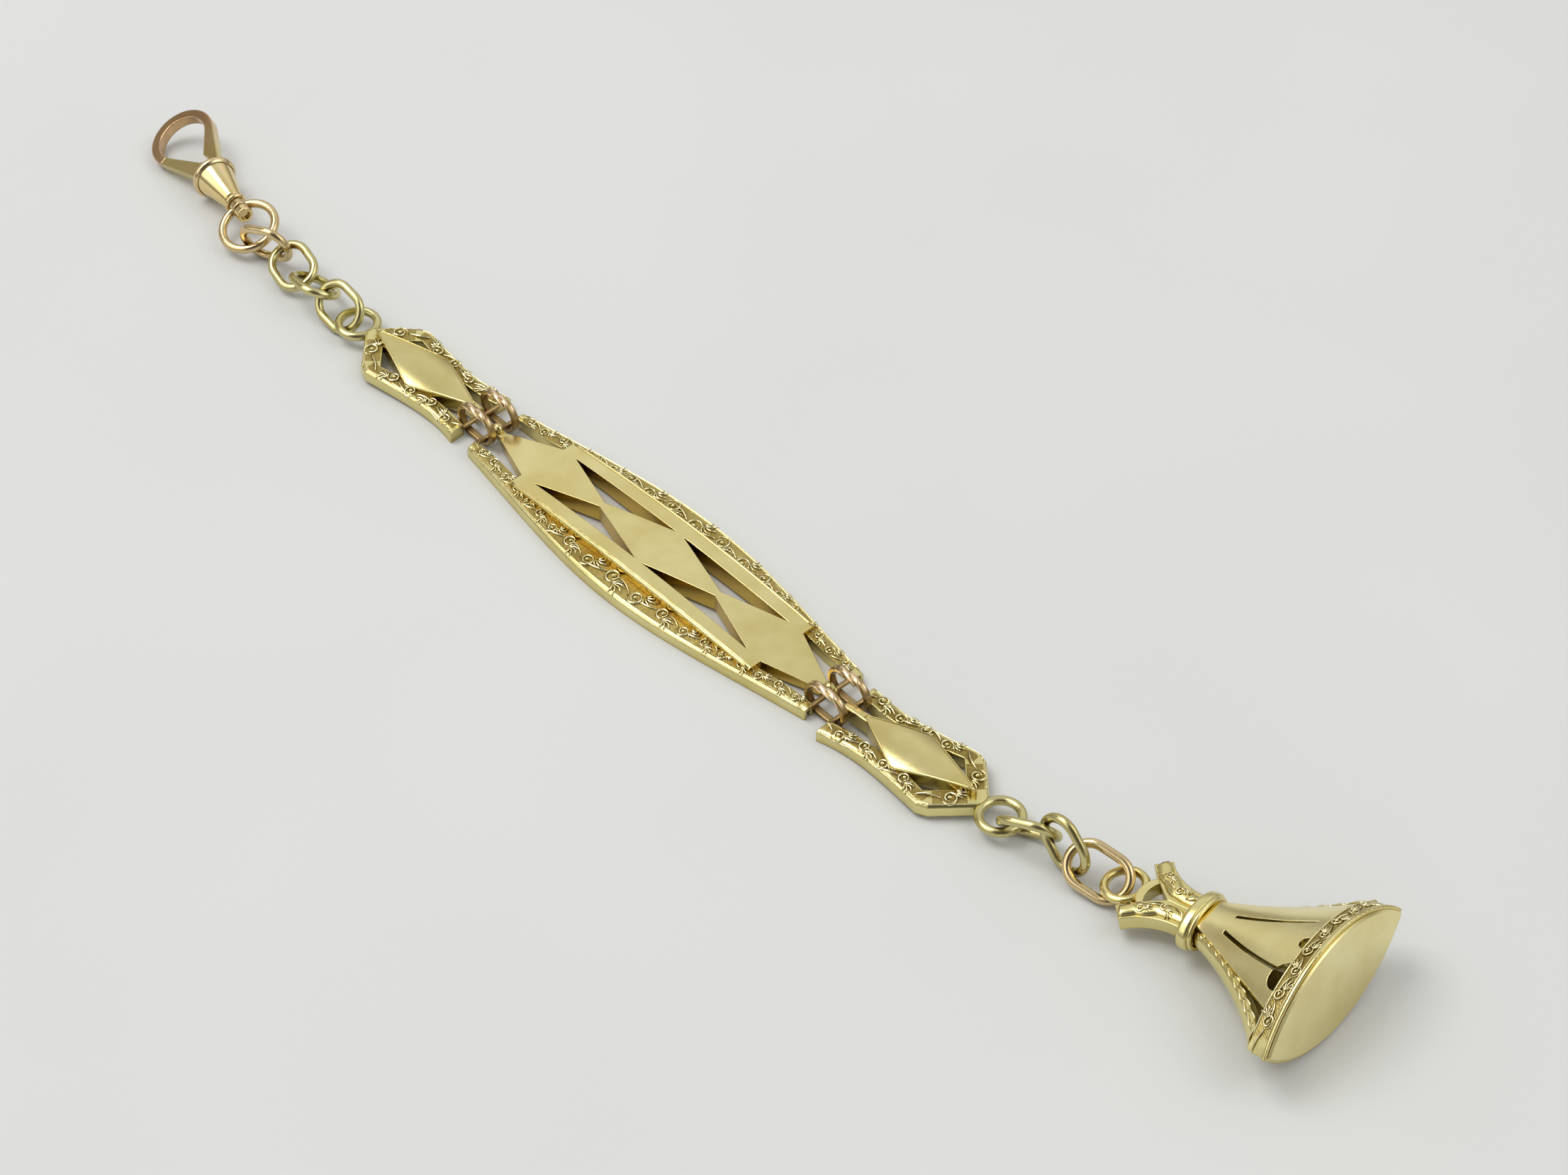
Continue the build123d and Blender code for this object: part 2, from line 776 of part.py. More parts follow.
clasp_eye_place = turned(clasp_panel, (eye_reach, 0, eye_height), 0)
link_4_place = hung_on(home, clasp_eye_place, eye_size, two_wires, link_4_lay, link_size)
link_3_place = hung_on(home, link_4_place, link_size, two_wires, link_3_lay, link_size)
link_2_place = hung_on(home, link_3_place, link_size, two_wires, link_2_lay, link_size)
link_1_place = hung_on(home, link_2_place, link_size, two_wires, link_1_lay, first_size)
swivel_place = hung_on(home, link_1_place, first_size, two_wires, swivel_ring_lay, swivel_size)

link_4 = wire_loop(link_4_place, link_half_length, link_half_width, wire_radius)
link_4.part.label = "link_4"
export_step(link_4.part, "parts/link_4.step")

link_3 = wire_loop(link_3_place, link_half_length, link_half_width, wire_radius)
link_3.part.label = "link_3"
export_step(link_3.part, "parts/link_3.step")

link_2 = wire_loop(link_2_place, link_half_length, link_half_width, wire_radius)
link_2.part.label = "link_2"
export_step(link_2.part, "parts/link_2.step")

link_1 = wire_loop(link_1_place, first_link_half_length, first_link_half_width, wire_radius)
link_1.part.label = "link_1"
export_step(link_1.part, "parts/link_1.step")

# swivel ring, with the boss that the clasp's post turns in

boss_point, boss_tangent, boss_out = loop_end(
    swivel_place, swivel_ring_radius, swivel_ring_radius, swivel_boss_angle
)
clasp = turned(
    home, home.to_local_coords(boss_point), clasp_heading, clasp_pitch, clasp_roll
)
boss_axis = across(clasp, 0)
with BuildPart(swivel_place) as swivel_ring:
    Torus(swivel_ring_radius, wire_radius)
    with BuildSketch(boss_axis):
        Circle(boss_radius)
    extrude(amount=boss_half_length, both=True)
    boss_rims = swivel_ring.edges().filter_by(GeomType.CIRCLE).filter_by(
        lambda edge: abs(edge.radius - boss_radius) < wire_gap
    )
    fillet(boss_rims, boss_half_length / 3)
    with BuildSketch(boss_axis):
        Circle(post_bore_radius)
    extrude(amount=boss_radius, both=True, mode=Mode.SUBTRACT)

swivel_ring.part.label = "swivel_ring"
export_step(swivel_ring.part, "parts/swivel_ring.step")

# clasp: every piece is placed from the boss's middle, its X towards the bow

narrow_end = boss_half_length + turn_gap + collar_bead_length
mouth = narrow_end + barrel_length
head_start = -boss_half_length - post_head_clear
bow_centre = mouth + bow_centre_reach
pivot_reach = mouth - pivot_depth

with BuildPart() as gate_pivot_pin:
    with BuildSketch(clasp):
        with Locations((pivot_reach, pivot_side)):
            Circle(pivot_radius)
    extrude(amount=pin_half_length, both=True)

gate_pivot_pin.part.label = "gate_pivot_pin"
export_step(gate_pivot_pin.part, "parts/gate_pivot_pin.step")

with BuildPart() as swivel_post:
    with BuildSketch(across(clasp, head_start)):
        Circle(post_radius)
    extrude(amount=narrow_end - head_start)
    with BuildSketch(across(clasp, head_start)):
        Circle(post_head_radius)
    extrude(amount=-post_head_length)
    head_rim = swivel_post.faces().sort_by(Axis(clasp.origin, clasp.x_dir))[0].edges()
    fillet(head_rim, post_dimple_depth / 2)
    with BuildSketch(across(clasp, head_start - post_head_length)):
        Circle(post_dimple_radius)
    extrude(amount=post_dimple_depth, mode=Mode.SUBTRACT)

swivel_post.part.label = "swivel_post"
export_step(swivel_post.part, "parts/swivel_post.step")

mouth_high = bow_height / 2 + gate_gap
with BuildPart() as clasp_barrel:
    with BuildSketch(beside(clasp)):
        with BuildLine():
            bead_start = narrow_end - collar_bead_length
            Line((bead_start, 0), (bead_start, collar_bead_radius - collar_bead_length / 2))
            ThreePointArc(
                (bead_start, collar_bead_radius - collar_bead_length / 2),
                (bead_start + collar_bead_length / 2, collar_bead_radius),
                (narrow_end, collar_bead_radius - collar_bead_length / 2),
            )
            Line(
                (narrow_end, collar_bead_radius - collar_bead_length / 2),
                (narrow_end + collar_bead_length / 2, barrel_narrow_radius),
            )
            Line(
                (narrow_end + collar_bead_length / 2, barrel_narrow_radius),
                (mouth - barrel_bead_length, barrel_mouth_radius),
            )
            ThreePointArc(
                (mouth - barrel_bead_length, barrel_mouth_radius),
                (mouth - barrel_bead_length / 2, barrel_wide_radius),
                (mouth, barrel_mouth_radius - barrel_bead_length / 4),
            )
            Line((mouth, barrel_mouth_radius - barrel_bead_length / 4), (mouth, 0))
            Line((mouth, 0), (bead_start, 0))
        make_face()
    revolve(axis=Axis(clasp.origin, clasp.x_dir))
    with BuildSketch(clasp):
        with BuildLine():
            Polyline(
                (mouth + mouth_side_gap, pivot_side - knuckle_radius - mouth_side_gap),
                (pivot_reach - knuckle_radius - gate_gap, pivot_side - knuckle_radius - gate_gap),
                (pivot_reach - knuckle_radius - gate_gap, pivot_side + knuckle_radius + gate_gap),
                (mouth + mouth_side_gap, pivot_side + knuckle_radius + gate_gap),
                close=True,
            )
        make_face()
    extrude(amount=mouth_high, both=True, mode=Mode.SUBTRACT)
    add(swivel_post.part, mode=Mode.SUBTRACT)
    add(gate_pivot_pin.part, mode=Mode.SUBTRACT)

clasp_barrel.part.label = "clasp_barrel"
export_step(clasp_barrel.part, "parts/clasp_barrel.step")


def bow_outline(outer_radius, root_radius, root_reach):
    """Pear-shaped outline: a small circle at the barrel and a large one beyond it, hulled."""
    reach = bow_centre - mouth - root_reach
    slope = (outer_radius - root_radius) / reach
    rise = sqrt(1 - slope**2)
    root_x = mouth + root_reach - root_radius * slope
    far_x = bow_centre - outer_radius * slope
    with BuildLine() as outline:
        Line((root_x, root_radius * rise), (far_x, outer_radius * rise))
        ThreePointArc(
            (far_x, outer_radius * rise),
            (bow_centre + outer_radius, 0),
            (far_x, -outer_radius * rise),
        )
        Line((far_x, -outer_radius * rise), (root_x, -root_radius * rise))
        Line((root_x, -root_radius * rise), (root_x, root_radius * rise))
    make_face(outline.edges())


def from_pivot(reach, side):
    """A point of the clasp, measured from the gate's pivot."""
    return reach - pivot_reach, side - pivot_side


# the hook makes room for the gate where it stands fully open
with BuildPart() as clasp_hook:
    with BuildSketch(clasp):
        bow_outline(bow_outer_radius, bow_root_outer, 0)
        with Locations((bow_centre, 0)):
            Circle(bow_inner_radius, mode=Mode.SUBTRACT)
    extrude(amount=bow_height / 2, both=True)
    with BuildSketch(clasp):
        bow_outline(bow_inner_radius, bow_root_inner, bow_root_inner_reach)
    extrude(amount=bow_height, both=True, mode=Mode.SUBTRACT)
    with BuildSketch(clasp):
        with Locations((pivot_reach, pivot_side)):
            Circle(gate_reach + gate_gap)
        Polygon(
            (0, -bow_outer_radius * 2),
            (bow_centre + bow_outer_radius, -bow_outer_radius * 2),
            (bow_centre + bow_outer_radius, 0),
            (mouth + bow_root_inner_reach, 0),
            (mouth, pivot_side - knuckle_radius - mouth_side_gap),
            (0, pivot_side - knuckle_radius - mouth_side_gap),
            align=None,
            mode=Mode.SUBTRACT,
        )
    extrude(amount=bow_height, both=True, mode=Mode.SUBTRACT)
    with BuildSketch(turned(clasp, (pivot_reach, pivot_side, 0), -gate_swing_angle, 0, 0)):
        Polygon(
            from_pivot(mouth, gate_root_side - gate_gap),
            from_pivot(mouth + bow_root_inner_reach + 2 * gate_gap, -gate_gap),
            from_pivot(bow_centre, bow_inner_radius - gate_gap),
            from_pivot(bow_centre, bow_outer_radius),
            from_pivot(mouth, pivot_side),
            align=None,
        )
    extrude(amount=bow_height, both=True, mode=Mode.SUBTRACT)
    with BuildSketch(across(clasp, mouth)):
        Circle(bow_outer_radius)
    extrude(amount=-bow_outer_radius, mode=Mode.SUBTRACT)

clasp_hook.part.label = "clasp_hook"
export_step(clasp_hook.part, "parts/clasp_hook.step")

with BuildPart() as clasp_gate:
    with BuildSketch(clasp):
        bow_outline(bow_outer_radius, bow_root_outer, 0)
        with Locations((bow_centre, 0)):
            Circle(bow_inner_radius, mode=Mode.SUBTRACT)
    extrude(amount=bow_height / 2, both=True)
    with BuildSketch(clasp):
        bow_outline(bow_inner_radius, bow_root_inner, bow_root_inner_reach)
    extrude(amount=bow_height, both=True, mode=Mode.SUBTRACT)
    with BuildSketch(clasp):
        with Locations((pivot_reach, pivot_side)):
            Circle(gate_reach)
    extrude(amount=bow_height, both=True, mode=Mode.INTERSECT)
    with BuildSketch(clasp):
        Polygon(
            (mouth - gate_gap, -bow_outer_radius),
            (mouth - gate_gap, gate_root_side),
            (mouth + gate_root_reach, gate_root_side),
            (mouth + bow_root_inner_reach, 0),
            (bow_centre + bow_outer_radius, 0),
            (bow_centre + bow_outer_radius, -bow_outer_radius),
            align=None,
        )
    extrude(amount=bow_height, both=True, mode=Mode.SUBTRACT)
    with BuildSketch(across(clasp, mouth + gate_gap)):
        Circle(bow_outer_radius)
    extrude(amount=-bow_outer_radius, mode=Mode.SUBTRACT)
    with BuildSketch(clasp):
        with Locations((pivot_reach, pivot_side)):
            Circle(knuckle_radius)
        Polygon(
            (pivot_reach, pivot_side - knuckle_radius),
            (mouth + gate_root_reach, gate_root_side),
            (mouth + gate_root_reach, pivot_side + knuckle_radius),
            (pivot_reach, pivot_side + knuckle_radius),
            align=None,
        )
    extrude(amount=bow_height / 2, both=True)
    with BuildSketch(clasp):
        with Locations((pivot_reach, pivot_side)):
            Circle(pivot_radius + bar_gap)
    extrude(amount=bow_height, both=True, mode=Mode.SUBTRACT)

clasp_gate.part.label = "clasp_gate"
export_step(clasp_gate.part, "parts/clasp_gate.step")

# trace links from the seal-side panel to the seal

seal_panel_eye_place = turned(seal_panel, (eye_reach, 0, eye_height), 0)
link_5_place = hung_on(home, seal_panel_eye_place, eye_size, two_wires, link_5_lay, link_size)
link_6_place = hung_on(home, link_5_place, link_size, two_wires, link_6_lay, link_size)
link_7_place = hung_on(home, link_6_place, link_size, two_wires, link_7_lay, last_size)
seal_eye_place = hung_on(
    home, link_7_place, last_size, wire_radius + seal_wire_radius, seal_lay, seal_eye_size
)

link_5 = wire_loop(link_5_place, link_half_length, link_half_width, wire_radius)
link_5.part.label = "link_5"
export_step(link_5.part, "parts/link_5.step")

link_6 = wire_loop(link_6_place, link_half_length, link_half_width, wire_radius)
link_6.part.label = "link_6"
export_step(link_6.part, "parts/link_6.step")

link_7 = wire_loop(link_7_place, last_link_half_length, last_link_half_width, wire_radius)
link_7.part.label = "link_7"
export_step(link_7.part, "parts/link_7.step")

# seal: every piece is placed from the collar's middle, its X towards the face

seal = Plane(
    origin=seal_eye_place.from_local_coords((collar_from_eye, 0, 0)),
    x_dir=seal_eye_place.x_dir,
    z_dir=seal_eye_place.z_dir,
)

with BuildPart(seal_eye_place) as seal_eye:
    Torus(seal_eye_radius, seal_wire_radius)

seal_eye.part.label = "seal_eye"
export_step(seal_eye.part, "parts/seal_eye.step")

with BuildPart() as seal_collar:
    with BuildSketch(across(seal, -collar_half_thick)):
        Ellipse(collar_half_width, collar_half_height)
    extrude(amount=2 * collar_half_thick)
    fillet(seal_collar.edges(), collar_round)

seal_collar.part.label = "seal_collar"
export_step(seal_collar.part, "parts/seal_collar.step")


def horn(side):
    """One of the two horns that rise from the collar on either side of the eye."""
    with BuildPart() as blade:
        with BuildSketch(seal.offset(-horn_half_height)):
            with BuildLine():
                Line((-collar_half_thick, 0), (-horn_fork_reach, 0))
                Spline(
                    (-horn_fork_reach, 0),
                    (-horn_inner_reach, side * horn_inner),
                    (-horn_tip_reach, side * horn_tip_inner),
                )
                Line(
                    (-horn_tip_reach, side * horn_tip_inner),
                    (-horn_end_reach, side * horn_end_outer),
                )
                Spline(
                    (-horn_end_reach, side * horn_end_outer),
                    (-horn_outer_reach, side * horn_outer),
                    (-horn_neck_reach, side * horn_neck_outer),
                    (-collar_half_thick, side * horn_neck_outer),
                )
                Line((-collar_half_thick, side * horn_neck_outer), (-collar_half_thick, 0))
            make_face()
        extrude(amount=2 * horn_half_height)
        add(seal_eye.part, mode=Mode.SUBTRACT)
    return blade


seal_horn_far_side = horn(1)
seal_horn_far_side.part.label = "seal_horn_far_side"
export_step(seal_horn_far_side.part, "parts/seal_horn_far_side.step")

seal_horn_near_side = horn(-1)
seal_horn_near_side.part.label = "seal_horn_near_side"
export_step(seal_horn_near_side.part, "parts/seal_horn_near_side.step")

with BuildPart() as seal_saddle:
    with BuildSketch(seal.offset(-horn_half_height)):
        with BuildLine():
            ThreePointArc(
                (-saddle_reach + saddle_band, -saddle_half_width),
                (-saddle_reach - saddle_band / 2, 0),
                (-saddle_reach + saddle_band, saddle_half_width),
            )
            Line(
                (-saddle_reach + saddle_band, saddle_half_width),
                (-saddle_reach + 2 * saddle_band, saddle_half_width),
            )
            ThreePointArc(
                (-saddle_reach + 2 * saddle_band, saddle_half_width),
                (-saddle_reach + saddle_band / 2, 0),
                (-saddle_reach + 2 * saddle_band, -saddle_half_width),
            )
            Line(
                (-saddle_reach + 2 * saddle_band, -saddle_half_width),
                (-saddle_reach + saddle_band, -saddle_half_width),
            )
        make_face()
    extrude(amount=2 * horn_half_height)
    add(seal_horn_far_side.part, mode=Mode.SUBTRACT)
    add(seal_horn_near_side.part, mode=Mode.SUBTRACT)
    add(seal_eye.part, mode=Mode.SUBTRACT)

seal_saddle.part.label = "seal_saddle"
export_step(seal_saddle.part, "parts/seal_saddle.step")


def leg(side):
    """One of the two tapering arms at the seal's sides, from collar to rim."""
    with BuildPart() as arm:
        with BuildSketch(across(seal, collar_half_thick, side * leg_neck_side)):
            Ellipse(leg_neck_deep, leg_neck_high)
        with BuildSketch(across(seal, leg_middle_reach, side * leg_middle_side)):
            Ellipse(leg_middle_deep, leg_middle_high)
        with BuildSketch(across(seal, rim_back_reach, side * leg_rim_side)):
            Ellipse(leg_rim_deep, leg_rim_high)
        loft()
    return arm


seal_leg_far_side = leg(1)
seal_leg_far_side.part.label = "seal_leg_far_side"
export_step(seal_leg_far_side.part, "parts/seal_leg_far_side.step")

seal_leg_near_side = leg(-1)
seal_leg_near_side.part.label = "seal_leg_near_side"
export_step(seal_leg_near_side.part, "parts/seal_leg_near_side.step")


def shell_strip(half_width, edge_height, top_height):
    """Outline of a curved sheet seen along the seal: an arc with an even thickness below it."""
    with BuildLine() as strip:
        ThreePointArc((-half_width, edge_height), (0, top_height), (half_width, edge_height))
        Line((half_width, edge_height), (half_width, edge_height - shell_thick))
        ThreePointArc(
            (half_width, edge_height - shell_thick),
            (0, top_height - shell_thick),
            (-half_width, edge_height - shell_thick),
        )
        Line((-half_width, edge_height - shell_thick), (-half_width, edge_height))
    make_face(strip.edges())


def slit(side, lean, end_half_width):
    """Outline of one long slit in the shell, bent like a bow and blunt at its collar end."""
    near_y = side * slit_near_side
    middle_y = side * (slit_middle_side - lean)
    far_y = side * (slit_far_side - lean / 2)
    half_width = slit_width / 2
    with BuildLine() as outline:
        ThreePointArc(
            (slit_near_reach, slit_shift + near_y - half_width),
            (slit_middle_reach, slit_shift + middle_y - half_width),
            (slit_far_reach, slit_shift + far_y - end_half_width),
        )
        Line(
            (slit_far_reach, slit_shift + far_y - end_half_width),
            (slit_far_reach, slit_shift + far_y + end_half_width),
        )
        ThreePointArc(
            (slit_far_reach, slit_shift + far_y + end_half_width),
            (slit_middle_reach, slit_shift + middle_y + half_width),
            (slit_near_reach, slit_shift + near_y + half_width),
        )
        Line(
            (slit_near_reach, slit_shift + near_y + half_width),
            (slit_near_reach, slit_shift + near_y - half_width),
        )
    make_face(outline.edges())


shell_rim_edge = marquise_height(rim_back_half_length, rim_back_half_width, shell_rim_half)
with BuildPart() as seal_front_plate:
    with BuildSketch(across(seal, collar_half_thick)):
        shell_strip(shell_neck_half, shell_neck_top, shell_neck_top + shell_neck_crown)
    with BuildSketch(across(seal, leg_middle_reach)):
        shell_strip(leg_middle_side, shell_middle_edge, shell_middle_top)
    with BuildSketch(across(seal, rim_back_reach)):
        shell_strip(shell_rim_half, shell_rim_edge - wire_gap, rim_back_half_width - wire_gap)
    loft()
    with BuildSketch(seal):
        slit(-1, 0, slit_width / 2)
        slit(1, slit_lean, slit_width / 4)
        with Locations((rim_back_reach, slit_shift - moon_side)):
            Circle(moon_radius)
        with Locations((rim_back_reach, slit_shift)):
            Circle(small_moon_radius)
    extrude(amount=2 * rim_back_half_width, mode=Mode.SUBTRACT)

seal_front_plate.part.label = "seal_front_plate"
export_step(seal_front_plate.part, "parts/seal_front_plate.step")

with BuildPart() as seal_back_plate:
    mirror(seal_front_plate.part, about=seal)

seal_back_plate.part.label = "seal_back_plate"
export_step(seal_back_plate.part, "parts/seal_back_plate.step")

with BuildPart() as seal_rim:
    with BuildSketch(across(seal, rim_back_reach)):
        marquise(rim_back_half_length, rim_back_half_width)
    with BuildSketch(across(seal, rim_front_reach)):
        marquise(rim_front_half_length, rim_front_half_width)
    loft()
    with BuildSketch(across(seal, rim_back_reach)):
        marquise(rim_back_half_length - rim_tip_wall, rim_back_half_width - rim_wall)
    with BuildSketch(across(seal, rim_front_reach)):
        marquise(rim_front_half_length - rim_tip_wall, rim_front_half_width - rim_wall)
    loft(mode=Mode.SUBTRACT)

seal_rim.part.label = "seal_rim"
export_step(seal_rim.part, "parts/seal_rim.step")

with BuildPart() as seal_rim_bead:
    with BuildSketch(across(seal, rim_front_reach)):
        marquise(bead_half_length, bead_half_width)
    extrude(amount=bead_front_reach - rim_front_reach)
    long_arcs = seal_rim_bead.edges().filter_by(GeomType.CIRCLE)
    fillet(long_arcs, (bead_front_reach - rim_front_reach) / 3)

seal_rim_bead.part.label = "seal_rim_bead"
export_step(seal_rim_bead.part, "parts/seal_rim_bead.step")

with BuildPart() as seal_face:
    with BuildSketch(across(seal, bead_front_reach)):
        marquise(face_half_length, face_half_width)
    extrude(amount=face_reach - bead_front_reach)
    front_arcs = seal_face.faces().sort_by(Axis(seal.origin, seal.x_dir))[-1].edges()
    chamfer(front_arcs, face_chamfer)

seal_face.part.label = "seal_face"
export_step(seal_face.part, "parts/seal_face.step")
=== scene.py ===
"""Looks of a gold pocket watch fob: engraved panels, trace links, swivel clasp and seal.

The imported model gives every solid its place. This script dresses each one in gold, lays the
raised scroll work over the frames, rails, horns and rim, and sets the table, lamps and camera.
Sizes are in millimetres unless a comment says otherwise; points handed to Blender are in metres.
"""

from __future__ import annotations

import json
import logging
import math
from collections.abc import Callable, Iterable, Sequence
from dataclasses import dataclass
from enum import Enum
from typing import Any

import bmesh
import bpy
from mathutils import Matrix, Vector
from mathutils.bvhtree import BVHTree

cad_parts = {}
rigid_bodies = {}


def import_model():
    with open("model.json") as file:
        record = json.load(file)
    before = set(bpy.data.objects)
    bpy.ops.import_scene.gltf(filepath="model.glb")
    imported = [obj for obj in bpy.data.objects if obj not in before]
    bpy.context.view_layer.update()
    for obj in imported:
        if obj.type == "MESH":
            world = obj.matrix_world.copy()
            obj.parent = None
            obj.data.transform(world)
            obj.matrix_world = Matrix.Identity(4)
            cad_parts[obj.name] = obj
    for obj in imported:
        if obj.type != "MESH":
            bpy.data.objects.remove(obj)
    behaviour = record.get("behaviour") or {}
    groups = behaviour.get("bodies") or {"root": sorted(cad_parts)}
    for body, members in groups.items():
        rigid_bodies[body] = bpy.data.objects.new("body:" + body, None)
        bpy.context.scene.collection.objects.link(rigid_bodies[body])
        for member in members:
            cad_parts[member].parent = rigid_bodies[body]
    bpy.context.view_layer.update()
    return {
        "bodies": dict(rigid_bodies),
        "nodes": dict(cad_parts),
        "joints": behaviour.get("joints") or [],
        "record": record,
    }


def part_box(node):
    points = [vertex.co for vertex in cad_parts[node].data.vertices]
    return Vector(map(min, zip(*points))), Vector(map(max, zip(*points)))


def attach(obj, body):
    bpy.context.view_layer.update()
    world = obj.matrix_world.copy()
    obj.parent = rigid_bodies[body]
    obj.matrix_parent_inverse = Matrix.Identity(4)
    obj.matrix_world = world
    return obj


LOG = logging.getLogger("watch_fob")
MM = 0.001
UP = Vector((0.0, 0.0, 1.0))
ALONG = Vector((1.0, 0.0, 0.0))
BOW_FADE_SHARES = (0.35, 0.85)

Triple = tuple[float, float, float]
Colour = Triple
Spot = tuple[float, float]
Span = tuple[float, float]
Curve = Callable[[float], float]
Surface = Callable[[float, float, float], Vector]


class Look(Enum):
    """The finishes of the fob."""

    POLISHED = "yellow_gold_polished"
    PIERCED = "yellow_gold_pierced"
    KITE = "yellow_gold_kite"
    WIRE = "yellow_gold_wire"
    SCROLLS = "yellow_gold_scrolls"
    GROUND = "yellow_gold_matted"
    DARK_GROUND = "yellow_gold_matted_dark"
    CARVED = "yellow_gold_engraved"
    SHELL = "yellow_gold_shell"
    ROSE = "rose_gold_polished"
    BOW = "rose_gold_bow"
    BARREL = "rose_gold_barrel"
    TARNISHED = "rose_gold_tarnished"
    SOFT_ROSE = "rose_gold_soft"


class Slot(Enum):
    """The record's material slots."""

    POLISHED = "yellow_gold_polished"
    ENGRAVED = "yellow_gold_engraved"
    ROSE = "rose_gold"


class End(Enum):
    """The two ends of the fob."""

    CLASP = "clasp"
    SEAL = "seal"


class Side(Enum):
    """The two long sides of the fob, as the camera sees them."""

    FAR = 1
    NEAR = -1

    def node(self, stem: str) -> str:
        """The name of this side's solid."""
        return f"{stem}_{self.name.lower()}_side"


class Socket:
    """One output of a shader node, with arithmetic on values written as Python operators."""

    def __init__(self, tree: Shader, socket: bpy.types.NodeSocket) -> None:
        """Keeps the socket and the tree it belongs to.

        Args:
            tree: The shader being built.
            socket: The node output that this object stands for.
        """
        self.tree = tree
        self.socket = socket

    def _math(self, operation: str, left: Any, right: Any) -> Socket:
        """Adds one Math node.

        Args:
            operation: The node's operation name.
            left: First value or socket.
            right: Second value or socket.

        Returns:
            The node's result.
        """
        return self.tree.node("ShaderNodeMath", {"operation": operation}, {0: left, 1: right})

    def __add__(self, other: Any) -> Socket:
        """Sum."""
        return self._math("ADD", self, other)

    def __radd__(self, other: Any) -> Socket:
        """Reflected sum."""
        return self._math("ADD", other, self)

    def __sub__(self, other: Any) -> Socket:
        """Difference."""
        return self._math("SUBTRACT", self, other)

    def __rsub__(self, other: Any) -> Socket:
        """Reflected difference."""
        return self._math("SUBTRACT", other, self)

    def __mul__(self, other: Any) -> Socket:
        """Product."""
        return self._math("MULTIPLY", self, other)

    def __rmul__(self, other: Any) -> Socket:
        """Reflected product."""
        return self._math("MULTIPLY", other, self)

    def clipped(self) -> Socket:
        """The value held between 0 and 1."""
        return self.tree.node("ShaderNodeClamp", {}, {"Value": self})

    def spread(self, low: float, gain: float) -> Socket:
        """The value over a low mark, made stronger and held between 0 and 1."""
        return ((self - low) * gain).clipped()


